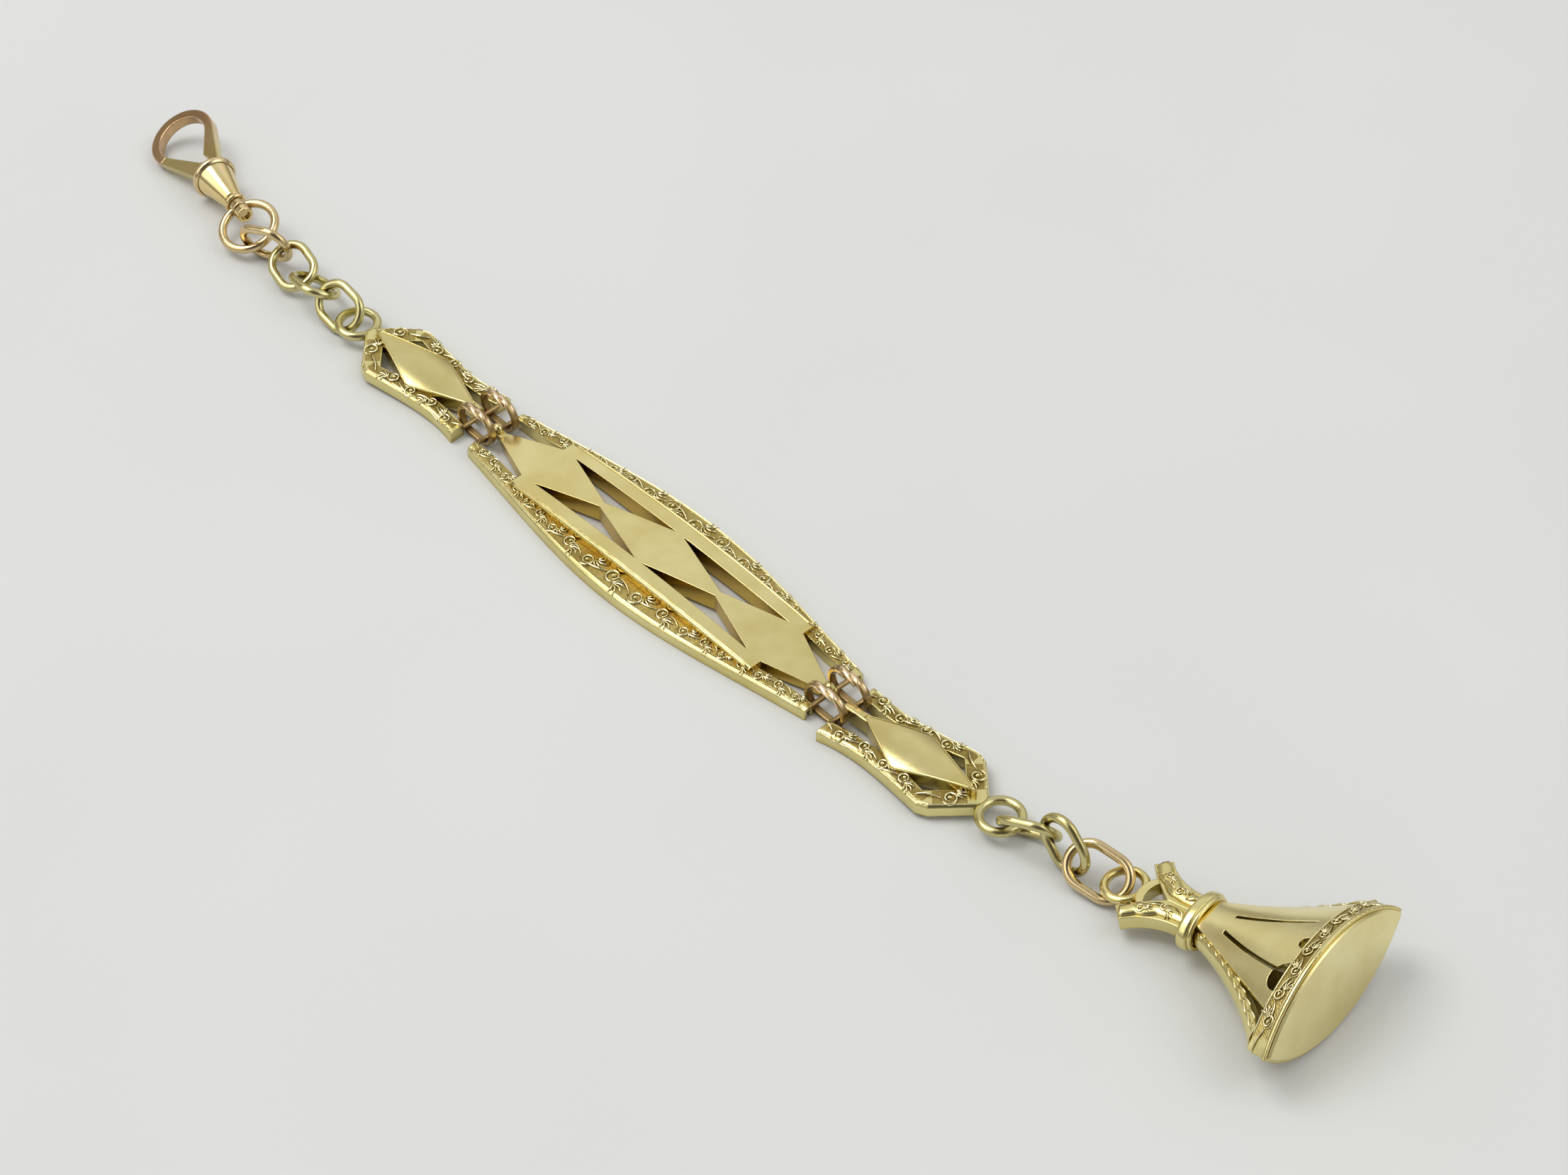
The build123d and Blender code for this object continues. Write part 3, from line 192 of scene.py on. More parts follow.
class Shader:
    """One node tree under construction, for a material or for the world."""

    # The colour sockets of Blender's Mix node.
    MIX_INPUTS = (6, 7)
    MIX_OUTPUT = 2
    CLOUD_SPREAD = (0.35, 3.0)
    # Scale at which the wave texture draws one line per metre.
    WAVE_UNIT = 0.314
    HOLLOW_SAMPLES = 8
    EDGE_SAMPLES = 6

    def __init__(self, owner: bpy.types.Material | bpy.types.World) -> None:
        """Empties the owner's tree.

        Args:
            owner: The material or world whose nodes are built.
        """
        owner.use_nodes = True
        self.tree = owner.node_tree
        self.tree.nodes.clear()

    def node(
        self,
        kind: str,
        settings: dict[str, Any] | None = None,
        inputs: dict[str | int, Any] | None = None,
        output: str | int = 0,
    ) -> Socket:
        """Adds any node: its settings first, then the values or links of its sockets.

        Args:
            kind: Blender's name of the node type.
            settings: Properties of the node; "stops" fills a colour ramp.
            inputs: Socket name or number to a value or a Socket.
            output: Which output the result stands for.

        Returns:
            The chosen output.
        """
        made = self.tree.nodes.new(kind)
        for name, value in (settings or {}).items():
            if name == "stops":
                self._fill_ramp(made.color_ramp, value)
            else:
                setattr(made, name, value)
        for name, value in (inputs or {}).items():
            if isinstance(value, Socket):
                self.tree.links.new(value.socket, made.inputs[name])
            else:
                made.inputs[name].default_value = value
        return Socket(self, made.outputs[output] if made.outputs else None)

    @staticmethod
    def _fill_ramp(ramp: bpy.types.ColorRamp, stops: Sequence[tuple[float, Colour]]) -> None:
        """Sets a ramp's stops.

        Args:
            ramp: The ramp to fill.
            stops: Position and colour of each stop, in order.
        """
        while len(ramp.elements) < len(stops):
            ramp.elements.new(1.0)
        for element, (place, colour) in zip(ramp.elements, stops):
            element.position = place
            element.color = (*colour, 1.0)

    def mixed(self, share: Any, first: Any, second: Any) -> Socket:
        """Blends two colours.

        Args:
            share: 0 gives the first colour, 1 the second.
            first: Colour or Socket.
            second: Colour or Socket.

        Returns:
            The blended colour.
        """
        colours = dict(zip(self.MIX_INPUTS, (first, second)))
        wide = {key: c if isinstance(c, Socket) else (*c, 1.0) for key, c in colours.items()}
        return self.node("ShaderNodeMix", {"data_type": "RGBA"}, {0: share, **wide}, self.MIX_OUTPUT)

    def noise(self, where: Socket, scale: float, detail: float) -> Socket:
        """Soft noise over the object, as a value.

        Args:
            where: Coordinates in metres.
            scale: Grains per metre.
            detail: Octaves of finer noise.

        Returns:
            The noise between about 0.3 and 0.7.
        """
        inputs = {"Vector": where, "Scale": scale, "Detail": detail}
        return self.node("ShaderNodeTexNoise", {}, inputs)

    def clouds(self, where: Socket, scale: float, detail: float) -> Socket:
        """The same noise, spread out between 0 and 1."""
        return self.noise(where, scale, detail).spread(*self.CLOUD_SPREAD)

    def part(self, of: Socket, axis: str) -> Socket:
        """One coordinate of a vector."""
        return self.node("ShaderNodeSeparateXYZ", {}, {0: of}, axis)

    def eased(self, value: Socket, start: float, end: float) -> Socket:
        """Climbs softly from 0 to 1.

        Args:
            value: The value looked at.
            start: Where the climb starts.
            end: Where the climb ends.

        Returns:
            0 at the start, 1 at the end.
        """
        inputs = {"Value": value, "From Min": start, "From Max": end}
        return self.node("ShaderNodeMapRange", {"interpolation_type": "SMOOTHSTEP"}, inputs)

    def close(self, output: str, shading: str, **inputs: Any) -> None:
        """Adds the shading node and the output that it feeds.

        Args:
            output: The output node's type.
            shading: The shading node's type.
            inputs: The shading node's inputs, with _ for each space in a name.
        """
        named = {name.replace("_", " "): value for name, value in inputs.items()}
        self.node(output, {}, {"Surface": self.node(shading, {}, named)})


@dataclass(frozen=True)
class GoldFinish:
    """Gold as it shows on one kind of surface. Its lengths are in metres."""

    look: Look
    light: Colour
    deep: Colour
    # crevice: the colour of painted shade, taken by hollows and, on some finishes, by steep walls.
    crevice: Colour
    smooth: float
    rough: float
    # How much painted shade ambient occlusion lays in hollows, how far it looks and how hard it
    # darkens.
    crevice_share: float = 0.0
    crevice_reach: float = 0.55 * MM
    crevice_gain: float = 1.6
    edge_round: float = 0.10 * MM
    grain_size: float = 0.25 * MM
    grain_depth: float = 0.004 * MM
    grain_detail: float = 6.0
    cloud_size: float = 4.0 * MM
    cloud_detail: float = 3.0
    scratch_detail: float = 8.0
    scratch_share: float = 0.5
    scratch_turn: Triple = (0.4, 0.2, 0.7)
    scratch_stretch: Triple = (1.0, 9.0, 9.0)
    scratch_spread: Span = (0.3, 1.6)
    hatch_depth: float = 0.0
    hatch_pitch: float = 0.16 * MM
    hatch_waviness: float = 6.0
    hatch_detail: float = 2.0
    hatch_detail_scale: float = 1.5
    # Painted shade on steep walls: surfaces that face sideways take the crevice colour.
    wall_share: float = 0.0
    wall_lift: float = 0.75
    wall_gain: float = 3.0
    fade_light: Colour | None = None
    fade_deep: Colour | None = None
    fade: Span = (0.0, 0.0)

    def colour(self, shader: Shader, where: Socket) -> Socket:
        """The gold's colour: clouds of two tones, another gold at one end, painted shade in hollows and
        on walls.

        Args:
            shader: The material's shader.
            where: The object's coordinates.

        Returns:
            The colour.
        """
        patch = shader.clouds(where, 1.0 / self.cloud_size, self.cloud_detail)
        colour = shader.mixed(patch, self.deep, self.light)
        if self.fade_light:
            share = shader.eased(shader.part(where, "X"), *self.fade)
            colour = shader.mixed(share, colour, shader.mixed(patch, self.fade_deep, self.fade_light))
        # Painted shade: the steeper the surface, the more it takes the crevice colour.
        if self.wall_share:
            lift = shader.part(shader.node("ShaderNodeTexCoord", output="Normal"), "Z")
            painted_wall_shade = ((self.wall_lift - lift) * self.wall_gain).clipped() * self.wall_share
            colour = shader.mixed(painted_wall_shade, colour, self.crevice)
        # Painted shade: ambient occlusion darkens the hollows towards the crevice colour.
        if self.crevice_share:
            samples, reach = {"samples": shader.HOLLOW_SAMPLES}, {"Distance": self.crevice_reach}
            open_share = shader.node("ShaderNodeAmbientOcclusion", samples, reach, "AO")
            hollow = ((1.0 - open_share) * self.crevice_gain).clipped() * self.crevice_share
            colour = shader.mixed(hollow, colour, self.crevice)
        return colour

    def hatching(self, shader: Shader, where: Socket) -> Socket:
        """The height of the graver's fine wavy lines.

        Args:
            shader: The material's shader.
            where: The object's coordinates.

        Returns:
            The height, in metres.
        """
        lines = shader.node(
            "ShaderNodeTexWave",
            {"wave_type": "BANDS", "bands_direction": "DIAGONAL"},
            {
                "Vector": where,
                "Scale": shader.WAVE_UNIT / self.hatch_pitch,
                "Distortion": self.hatch_waviness,
                "Detail": self.hatch_detail,
                "Detail Scale": self.hatch_detail_scale,
            },
            "Fac",
        )
        return lines * self.hatch_depth

    def material(self) -> bpy.types.Material:
        """Builds the material.

        Returns:
            A metallic material with fine scratches and rounded, worn edges.
        """
        made = bpy.data.materials.new(self.look.value)
        shader = Shader(made)
        where = shader.node("ShaderNodeTexCoord", output="Object")
        grain = shader.noise(where, 1.0 / self.grain_size, self.grain_detail)
        drawn_out = shader.node(
            "ShaderNodeMapping",
            {},
            {"Vector": where, "Rotation": self.scratch_turn, "Scale": self.scratch_stretch},
        )
        scratch = shader.noise(drawn_out, self.scratch_share / self.grain_size, self.scratch_detail)
        height = grain * self.grain_depth + scratch * self.grain_depth
        if self.hatch_depth:
            height = height + self.hatching(shader, where)
        samples = {"samples": shader.EDGE_SAMPLES}
        worn = shader.node("ShaderNodeBevel", samples, {"Radius": self.edge_round})
        bump = {"Height": height, "Distance": 1.0, "Normal": worn}
        shader.close(
            "ShaderNodeOutputMaterial",
            "ShaderNodeBsdfPrincipled",
            Base_Color=self.colour(shader, where),
            Metallic=1.0,
            Roughness=self.smooth + (self.rough - self.smooth) * scratch.spread(*self.scratch_spread),
            Normal=shader.node("ShaderNodeBump", {}, bump),
        )
        return made


class Finishes:
    """Every finish of the fob, made once and shared."""

    def __init__(self, bow_fade: Span) -> None:
        """Builds the materials.

        Args:
            bow_fade: Where the bow turns from rose to yellow gold, along the fob, in metres.
        """
        light, deep = (0.80, 0.70, 0.34), (0.70, 0.59, 0.24)
        # The colour of painted shade in hollows and on steep walls, shared by several finishes.
        wall = (0.50, 0.35, 0.06)
        soft = 0.16 * MM
        wire_round = 0.22 * MM
        matted = {"grain_depth": 0.020 * MM, "hatch_depth": 0.012 * MM}
        golds = (
            GoldFinish(Look.POLISHED, light, deep, wall, 0.16, 0.28, crevice_share=0.95),
            # The pierced plate: its slot walls and steep sides get golden brown painted shade.
            GoldFinish(
                Look.PIERCED, light, deep, (0.60, 0.41, 0.08), 0.16, 0.28,
                crevice_share=0.5, wall_share=0.9,
            ),
            GoldFinish(
                Look.KITE, (0.71, 0.615, 0.29), (0.62, 0.52, 0.21), wall, 0.15, 0.26,
                crevice_share=0.4, edge_round=soft,
            ),
            GoldFinish(
                Look.WIRE, (0.66, 0.60, 0.30), (0.54, 0.47, 0.20), (0.20, 0.14, 0.04), 0.16, 0.30,
                crevice_share=0.7,
            ),
            # The raised strokes: a paler copy of the gold, a painted highlight for the light they
            # catch.
            GoldFinish(
                Look.SCROLLS, (0.95, 0.89, 0.56), (0.88, 0.80, 0.43), (0.34, 0.24, 0.06), 0.09, 0.18,
                crevice_share=0.6, crevice_reach=0.25 * MM, edge_round=0.03 * MM,
                grain_depth=0.010 * MM,
            ),
            # The matted ground between the raised strokes: hatching and roughness are its real matting,
            # its dark colour is painted shade between the strokes.
            GoldFinish(
                Look.GROUND, (0.52, 0.42, 0.15), (0.34, 0.25, 0.07), (0.20, 0.13, 0.03), 0.24, 0.42,
                crevice_share=0.9, crevice_reach=0.28 * MM, **matted,
            ),
            # A darker ground still, for the end panels' frames: deeper painted shade.
            GoldFinish(
                Look.DARK_GROUND, (0.44, 0.34, 0.11), (0.24, 0.17, 0.04), (0.14, 0.09, 0.02), 0.24,
                0.42, crevice_share=0.95, crevice_reach=0.34 * MM, **matted,
            ),
            GoldFinish(
                Look.CARVED, (0.78, 0.70, 0.34), (0.68, 0.59, 0.24), wall, 0.16, 0.30,
                crevice_share=0.7, edge_round=soft, grain_depth=0.008 * MM,
            ),
            GoldFinish(
                Look.ROSE, (0.90, 0.71, 0.48), (0.80, 0.58, 0.37), (0.24, 0.12, 0.05), 0.10, 0.22,
                crevice_share=0.5, edge_round=wire_round,
            ),
            GoldFinish(
                Look.BOW, (0.70, 0.50, 0.30), (0.56, 0.37, 0.20), (0.20, 0.10, 0.04), 0.10, 0.22,
                crevice_share=0.6, edge_round=wire_round, fade_light=(0.74, 0.63, 0.30),
                fade_deep=(0.62, 0.50, 0.20), fade=bow_fade,
            ),
            GoldFinish(
                Look.BARREL, (0.86, 0.71, 0.38), (0.77, 0.60, 0.28), (0.26, 0.15, 0.05), 0.08, 0.16,
                crevice_share=0.5,
            ),
            # A paler gold for the seal's plates and face: partly their own tone, partly painted
            # reflection of the white that they mirror.
            GoldFinish(Look.SHELL, (0.91, 0.82, 0.43), (0.82, 0.71, 0.33), wall, 0.18, 0.30),
            # A dark brown copy of the rose gold for the crossbars and the rings' lower parts, which lie
            # under the panels: painted shade.
            GoldFinish(
                Look.TARNISHED, (0.46, 0.33, 0.15), (0.28, 0.19, 0.08), (0.14, 0.08, 0.03), 0.24, 0.40,
                crevice_share=0.8,
            ),
            GoldFinish(
                Look.SOFT_ROSE, (0.78, 0.63, 0.36), (0.66, 0.50, 0.26), (0.20, 0.12, 0.04), 0.12, 0.24,
                crevice_share=0.7,
            ),
        )
        self.made = {gold.look: gold.material() for gold in golds}

    def __getitem__(self, look: Look) -> bpy.types.Material:
        """The material of one finish."""
        return self.made[look]


class Place:
    """A flat frame of reference: a point with an X, a Y and a Z direction."""

    def __init__(self, origin: Vector, along: Vector, up: Vector) -> None:
        """Keeps the directions at right angles.

        Args:
            origin: The point, in metres.
            along: The X direction.
            up: Roughly the Z direction.
        """
        self.origin = origin
        self.x = along.normalized()
        self.z = (up - self.x * up.dot(self.x)).normalized()
        self.y = self.z.cross(self.x)

    @classmethod
    def turned(cls, origin: Vector, heading: float, pitch: float, roll: float = 0.0) -> Place:
        """A place by its heading, pitch and roll.

        Args:
            origin: The point, in metres.
            heading: Degrees round from +X towards +Y.
            pitch: Degrees that the X direction climbs.
            roll: Degrees that the Y direction lifts.

        Returns:
            The place.
        """
        h, p, r = (math.radians(a) for a in (heading, pitch, roll))
        along = Vector((math.cos(h) * math.cos(p), math.sin(h) * math.cos(p), math.sin(p)))
        level = Vector((-math.sin(h), math.cos(h), 0.0))
        side = level * math.cos(r) + along.cross(level) * math.sin(r)
        return cls(origin, along, along.cross(side))

    def at(self, x: float, y: float = 0.0, z: float = 0.0) -> Vector:
        """A point of this place, given in millimetres along its directions."""
        return self.origin + (self.x * x + self.y * y + self.z * z) * MM

    def face(self, hand: int) -> Place:
        """The same place seen from its upper side, or with -1 from below."""
        return Place(self.origin, self.x, self.z * hand)

    def loop(self, x: float, wide: float, high: float, count: int = 96) -> list[Vector]:
        """Points of an oval round the X direction.

        Args:
            x: Where the oval stands.
            wide: Its half width along Y.
            high: Its half height along Z.
            count: How many points it has.

        Returns:
            The points, in metres.
        """
        turns = [2 * math.pi * k / count for k in range(count)]
        return [self.at(x, wide * math.cos(t), high * math.sin(t)) for t in turns]


class Skin:
    """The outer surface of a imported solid, so that relief can be laid right on it."""

    FAR = 9.0
    TOP = 1.25
    LEAST_FACING = 0.5

    def __init__(self, node: bpy.types.Object) -> None:
        """Reads the solid's faces.

        Args:
            node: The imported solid.
        """
        points = [vertex.co.copy() for vertex in node.data.vertices]
        faces = [list(polygon.vertices) for polygon in node.data.polygons]
        self.tree = BVHTree.FromPolygons(points, faces)

    def seen_from_above(self, place: Place, hand: int = 1) -> Surface:
        """The surface as met when looking down a place's Z.

        Where the look meets nothing, the nearest edge is sought from a little above the place.

        Args:
            place: Where the work is drawn, in its X and Y.
            hand: +1, or -1 to count Y the other way.

        Returns:
            A function of a point of the drawing and a height over the surface.
        """

        def surface(x: float, y: float, height: float) -> Vector:
            """A point over the skin.

            Args:
                x: Place along the drawing.
                y: Place across the drawing.
                height: Height over the surface.

            Returns:
                The point, in metres.
            """
            hit, normal, _, _ = self.tree.ray_cast(place.at(x, hand * y, self.FAR), -place.z)
            if hit is None:
                hit, normal, _, _ = self.tree.find_nearest(place.at(x, hand * y, self.TOP))
            lift = normal if normal.dot(place.z) > self.LEAST_FACING else place.z
            return hit + lift * height * MM

        return surface


def spaced(start: float, end: float, steps: int) -> list[float]:
    """Evenly spaced values from start to end, both included."""
    return [start + (end - start) * i / steps for i in range(steps + 1)]


def even_curve(stations: Sequence[Spot]) -> Curve:
    """A smooth symmetric curve through its stations.

    Args:
        stations: Distances from the middle and the curve's value there.

    Returns:
        A function of the distance.
    """

    def value(x: float) -> float:
        """The curve's value at a distance from the middle.

        Args:
            x: The distance.

        Returns:
            The value.
        """
        total = 0.0
        for i, (xi, yi) in enumerate(stations):
            term = yi
            for j, (xj, _) in enumerate(stations):
                if i != j:
                    term *= (x * x - xj * xj) / (xi * xi - xj * xj)
            total += term
        return total

    return value


def chained(stations: Sequence[Spot]) -> Curve:
    """A curve through its stations that eases from one to the next.

    Args:
        stations: Positions and values, in order of position.

    Returns:
        A function of the position.
    """

    def value(x: float) -> float:
        """The curve's value at a position.

        Args:
            x: The position.

        Returns:
            The value.
        """
        for (x0, y0), (x1, y1) in zip(stations, stations[1:]):
            if x <= x1:
                share = min(max((x - x0) / (x1 - x0), 0.0), 1.0)
                return y0 + (y1 - y0) * share * share * (3 - 2 * share)
        return stations[-1][1]

    return value


class Metalwork:
    """A mesh under construction: raised strokes and beads on a surface."""

    STROKE_SHARES = ((-1.0, -0.3), (-0.75, 0.62), (0.0, 1.0), (0.75, 0.62), (1.0, -0.3))
    BEAD_SHARES = ((1.0, -0.3), (0.8, 0.6), (0.35, 1.0))
    BEAD_POINTS = 10
    HOOP_POINTS = 14
    DOME_RINGS = 12
    DOME_POINTS = 16
    GROUND_HEIGHT = 0.012
    FINE_HALF = 0.045
    FINE_HEIGHT = 0.07

    def __init__(self, name: str) -> None:
        """Starts an empty mesh.

        Args:
            name: The name of the piece.
        """
        self.name = name
        self.mesh = bmesh.new()

    def rings(self, loops: Sequence[Sequence[Vector]], closed: bool = False) -> None:
        """Joins loops of points with faces.

        Args:
            loops: Rings of the same number of points.
            closed: Whether the last ring joins the first; otherwise both ends are capped.
        """
        made = [[self.mesh.verts.new(p) for p in loop] for loop in loops]
        count = len(made[0])
        pairs = list(zip(made, made[1:])) + ([(made[-1], made[0])] if closed else [])
        for first, second in pairs:
            for i in range(count):
                j = (i + 1) % count
                self.mesh.faces.new((first[i], first[j], second[j], second[i]))
        if not closed:
            self.mesh.faces.new(list(reversed(made[0])))
            self.mesh.faces.new(made[-1])

    def stroke(
        self, spots: Sequence[Spot], width: float, height: float, surface: Surface, blunt: float = 0.25
    ) -> None:
        """Lays a raised, tapering stroke on a surface.

        Args:
            spots: Points of the stroke's middle line, on the surface.
            width: Half width at the fullest point.
            height: Height at the fullest point.
            surface: Turns a point and a height over the surface into a place.
            blunt: Width at the ends, as a share of the fullest.
        """
        rows = []
        last = len(spots) - 1
        for i, (x, y) in enumerate(spots):
            ahead = spots[min(i + 1, last)]
            behind = spots[max(i - 1, 0)]
            dx, dy = ahead[0] - behind[0], ahead[1] - behind[1]
            length = math.hypot(dx, dy) or 1.0
            nx, ny = -dy / length, dx / length
            swell = blunt + (1.0 - blunt) * math.sin(math.pi * (i + 0.5) / (last + 1))
            w, h = width * swell, height * swell
            rows.append([surface(x + nx * w * a, y + ny * w * a, h * b) for a, b in self.STROKE_SHARES])
        self.rings(rows)

    def fine_line(self, spots: Sequence[Spot], surface: Surface) -> None:
        """Lays an even, very fine raised line on a surface."""
        self.stroke(spots, self.FINE_HALF, self.FINE_HEIGHT, surface, 1.0)

    def bead(self, x: float, y: float, radius: float, height: float, surface: Surface) -> None:
        """Lays a low round bead on a surface.

        Args:
            x: Place along the surface.
            y: Place across the surface.
            radius: The bead's radius.
            height: The bead's height.
            surface: Turns a point and a height over the surface into a place.
        """
        turns = [2 * math.pi * k / self.BEAD_POINTS for k in range(self.BEAD_POINTS)]
        loops = []
        for share, lift in self.BEAD_SHARES:
            r = radius * share
            loops.append(
                [surface(x + r * math.cos(t), y + r * math.sin(t), height * lift) for t in turns]
            )
        self.rings(loops)

    def ground(self, rows: Sequence[Sequence[Spot]], surface: Surface) -> None:
        """Covers a band of the surface with a very thin sheet of the second material, dark with painted
        shade.

        Args:
            rows: Rows of points across the band, one row after the other along it.
            surface: Turns a point and a height over the surface into a place.
        """
        made = [
            [self.mesh.verts.new(surface(x, y, self.GROUND_HEIGHT)) for x, y in row] for row in rows
        ]
        for first, second in zip(made, made[1:]):
            for i in range(len(first) - 1):
                face = self.mesh.faces.new((first[i], second[i], second[i + 1], first[i + 1]))
                face.material_index = 1

    def dome(self, place: Place, long: float, wide: float, high: float) -> None:
        """Adds an egg-shaped nub.

        Args:
            place: Its middle and directions.
            long: Half length along the place's X.
            wide: Half width along its Y.
            high: Half height along its Z.
        """
        turns = [math.pi * k / self.DOME_RINGS for k in range(1, self.DOME_RINGS)]
        self.rings(
            [
                place.loop(long * math.cos(t), wide * math.sin(t), high * math.sin(t), self.DOME_POINTS)
                for t in turns
            ]
        )

    def hoop(self, points: Sequence[Vector], radius: float) -> None:
        """Lays a round wire along a closed line.

        Args:
            points: The wire's middle line, in metres.
            radius: The wire's radius.
        """
        loops = []
        centre = sum(points, Vector()) / len(points)
        turns = [2 * math.pi * k / self.HOOP_POINTS for k in range(self.HOOP_POINTS)]
        for i, point in enumerate(points):
            along = (points[(i + 1) % len(points)] - points[i - 1]).normalized()
            side = along.cross(point - centre).normalized()
            up = side.cross(along)
            loops.append(
                [point + (side * math.cos(t) + up * math.sin(t)) * radius * MM for t in turns]
            )
        self.rings(loops, closed=True)

    def finish(self, body: str, slot: Slot, *materials: bpy.types.Material) -> None:
        """Turns the mesh into a piece that moves with a body.

        Args:
            body: The body that carries the piece.
            slot: The record's material slot; not used.
            materials: The piece's materials.
        """
        bmesh.ops.recalc_face_normals(self.mesh, faces=self.mesh.faces)
        data = bpy.data.meshes.new(self.name)
        self.mesh.to_mesh(data)
        self.mesh.free()
        for polygon in data.polygons:
            polygon.use_smooth = True
        for material in materials:
            data.materials.append(material)
        piece = bpy.data.objects.new(self.name, data)
        bpy.context.collection.objects.link(piece)
        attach(piece, body)
        LOG.info("%s: %d faces", self.name, len(data.polygons))


@dataclass(frozen=True)
class ScrollWork:
    """The engraver's running scroll: curls with a pearl, stems, and fans of leaves."""

    pitch: float = 2.60
    full_band: float = 1.60
    curl_radius: float = 0.66
    curl_sweep: float = 2.45
    curl_closing: float = 0.58
    curl_start: float = 80.0
    curl_shift: float = 0.16
    curl_steps: int = 19
    stroke_half: float = 0.108
    stroke_height: float = 0.25
    pearl_swell: float = 1.7
    pearl_rise: float = 1.1
    stem_drop: float = 0.75
    stem_bow: float = 0.25
    stem_share: float = 0.9
    stem_steps: int = 7
    leaf_count: int = 5
    leaf_length: float = 1.05
    leaf_root: Spot = (0.75, 0.90)
    leaf_lean: float = 100.0
    leaf_fan: float = 125.0
    leaf_bend: float = 0.8
    leaf_least: float = 0.75
    leaf_shares: Span = (0.85, 0.9)
    leaf_blunt: float = 0.3
    leaf_steps: int = 4
    ground_steps: int = 60
    ground_rows: int = 4

    def curl(self, x: float, y: float, radius: float, start: float, turn: int) -> list[Spot]:
        """Points of a curl that winds in towards its pearl.

        Args:
            x: Centre along the surface.
            y: Centre across the surface.
            radius: Outer radius.
            start: Angle where the curl begins, in degrees.
            turn: +1 winds one way, -1 the other.

        Returns:
            The points, from the outside in.
        """
        spots = []
        for share in spaced(0.0, 1.0, self.curl_steps):
            angle = math.radians(start) + turn * share * self.curl_sweep * math.pi
            r = radius * (1.0 - self.curl_closing * share)
            spots.append((x + r * math.cos(angle), y + r * math.sin(angle)))
        return spots

    def leaf(self, share: float, size: float, side: int) -> list[Spot]:
        """Points of one leaf of the fan, from its root.

        Args:
            share: The leaf's place in the fan, 0 to 1.
            size: Scale of the pattern.
            side: +1 or -1: to which side the curl lies.

        Returns:
            The points.
        """
        lean = side * math.radians(self.leaf_lean - self.leaf_fan * share)
        swell = self.leaf_least + (1.0 - self.leaf_least) * math.sin(math.pi * share)
        length = self.leaf_length * size * swell
        spots = []
        for t in spaced(0.0, 1.0, self.leaf_steps):
            bend = lean - side * self.leaf_bend * t
            spots.append((length * t * math.cos(bend), length * t * math.sin(bend)))
        return spots

    def unit(
        self, work: Metalwork, x: float, middle: float, size: float, side: int, surface: Surface
    ) -> None:
        """Lays one curl with its stem and leaves.

        Args:
            work: The mesh that takes the strokes.
            x: Where the curl is centred, along the band.
            middle: The band's middle line, across it.
            size: Scale of the pattern, 1 for a full band.
            side: +1 or -1: to which side the curl lies.
            surface: Turns a point and a height into a place.
        """
        half, high = self.stroke_half * size**0.5, self.stroke_height * size**0.5
        radius = self.curl_radius * size
        y = middle + side * self.curl_shift * size
        start = 90.0 * side + self.curl_start
        work.stroke(self.curl(x, y, radius, start, -side), half, high, surface)
        work.bead(x, y, half * self.pearl_swell, high * self.pearl_rise, surface)
        reach = self.pitch * size
        stem = []
        for t in spaced(0.0, 1.0, self.stem_steps):
            drop = self.stem_drop * radius * t + self.stem_bow * radius * math.sin(math.pi * t)
            stem.append((x - radius - (reach - radius) * t, y - side * drop))
        work.stroke(stem, half * self.stem_share, high, surface)
        leaf_half, leaf_high = half * self.leaf_shares[0], high * self.leaf_shares[1]
        root_x = x + radius * self.leaf_root[0]
        root_y = y - side * radius * self.leaf_root[1]
        for share in spaced(0.0, 1.0, self.leaf_count - 1):
            spots = [(root_x + u, root_y + v) for u, v in self.leaf(share, size, side)]
            work.stroke(spots, leaf_half, leaf_high, surface, self.leaf_blunt)

    def run(
        self, work: Metalwork, start: float, end: float, low: Curve, high: Curve, surface: Surface
    ) -> None:
        """Fills a band with running scrolls over a matted ground.

        Args:
            work: The mesh that takes the work.
            start: Where the band starts.
            end: Where the band ends.
            low: The band's inner edge.
            high: The band's outer edge.
            surface: Turns a point and a height into a place.
        """

        def size_at(x: float) -> float:
            """Scale of the pattern for the band's width here."""
            return (high(x) - low(x)) / self.full_band

        xs = spaced(start, end, self.ground_steps)
        rows = [[(x, y) for y in spaced(low(x), high(x), self.ground_rows)] for x in xs]
        work.ground(rows, surface)
        x = start
        side = 1
        while True:
            x += self.pitch * size_at(x) * 0.5
            size = size_at(x)
            if x + self.curl_radius * size > end:
                break
            self.unit(work, x, (high(x) + low(x)) / 2, size, side, surface)
            x += self.pitch * size * 0.5
            side = -side


SCROLLS = ScrollWork()
BOLD_SCROLLS = ScrollWork(full_band=1.24, stroke_half=0.118, stroke_height=0.28)
RIM_SCROLLS = ScrollWork(full_band=1.50, stroke_half=0.105, stroke_height=0.24)


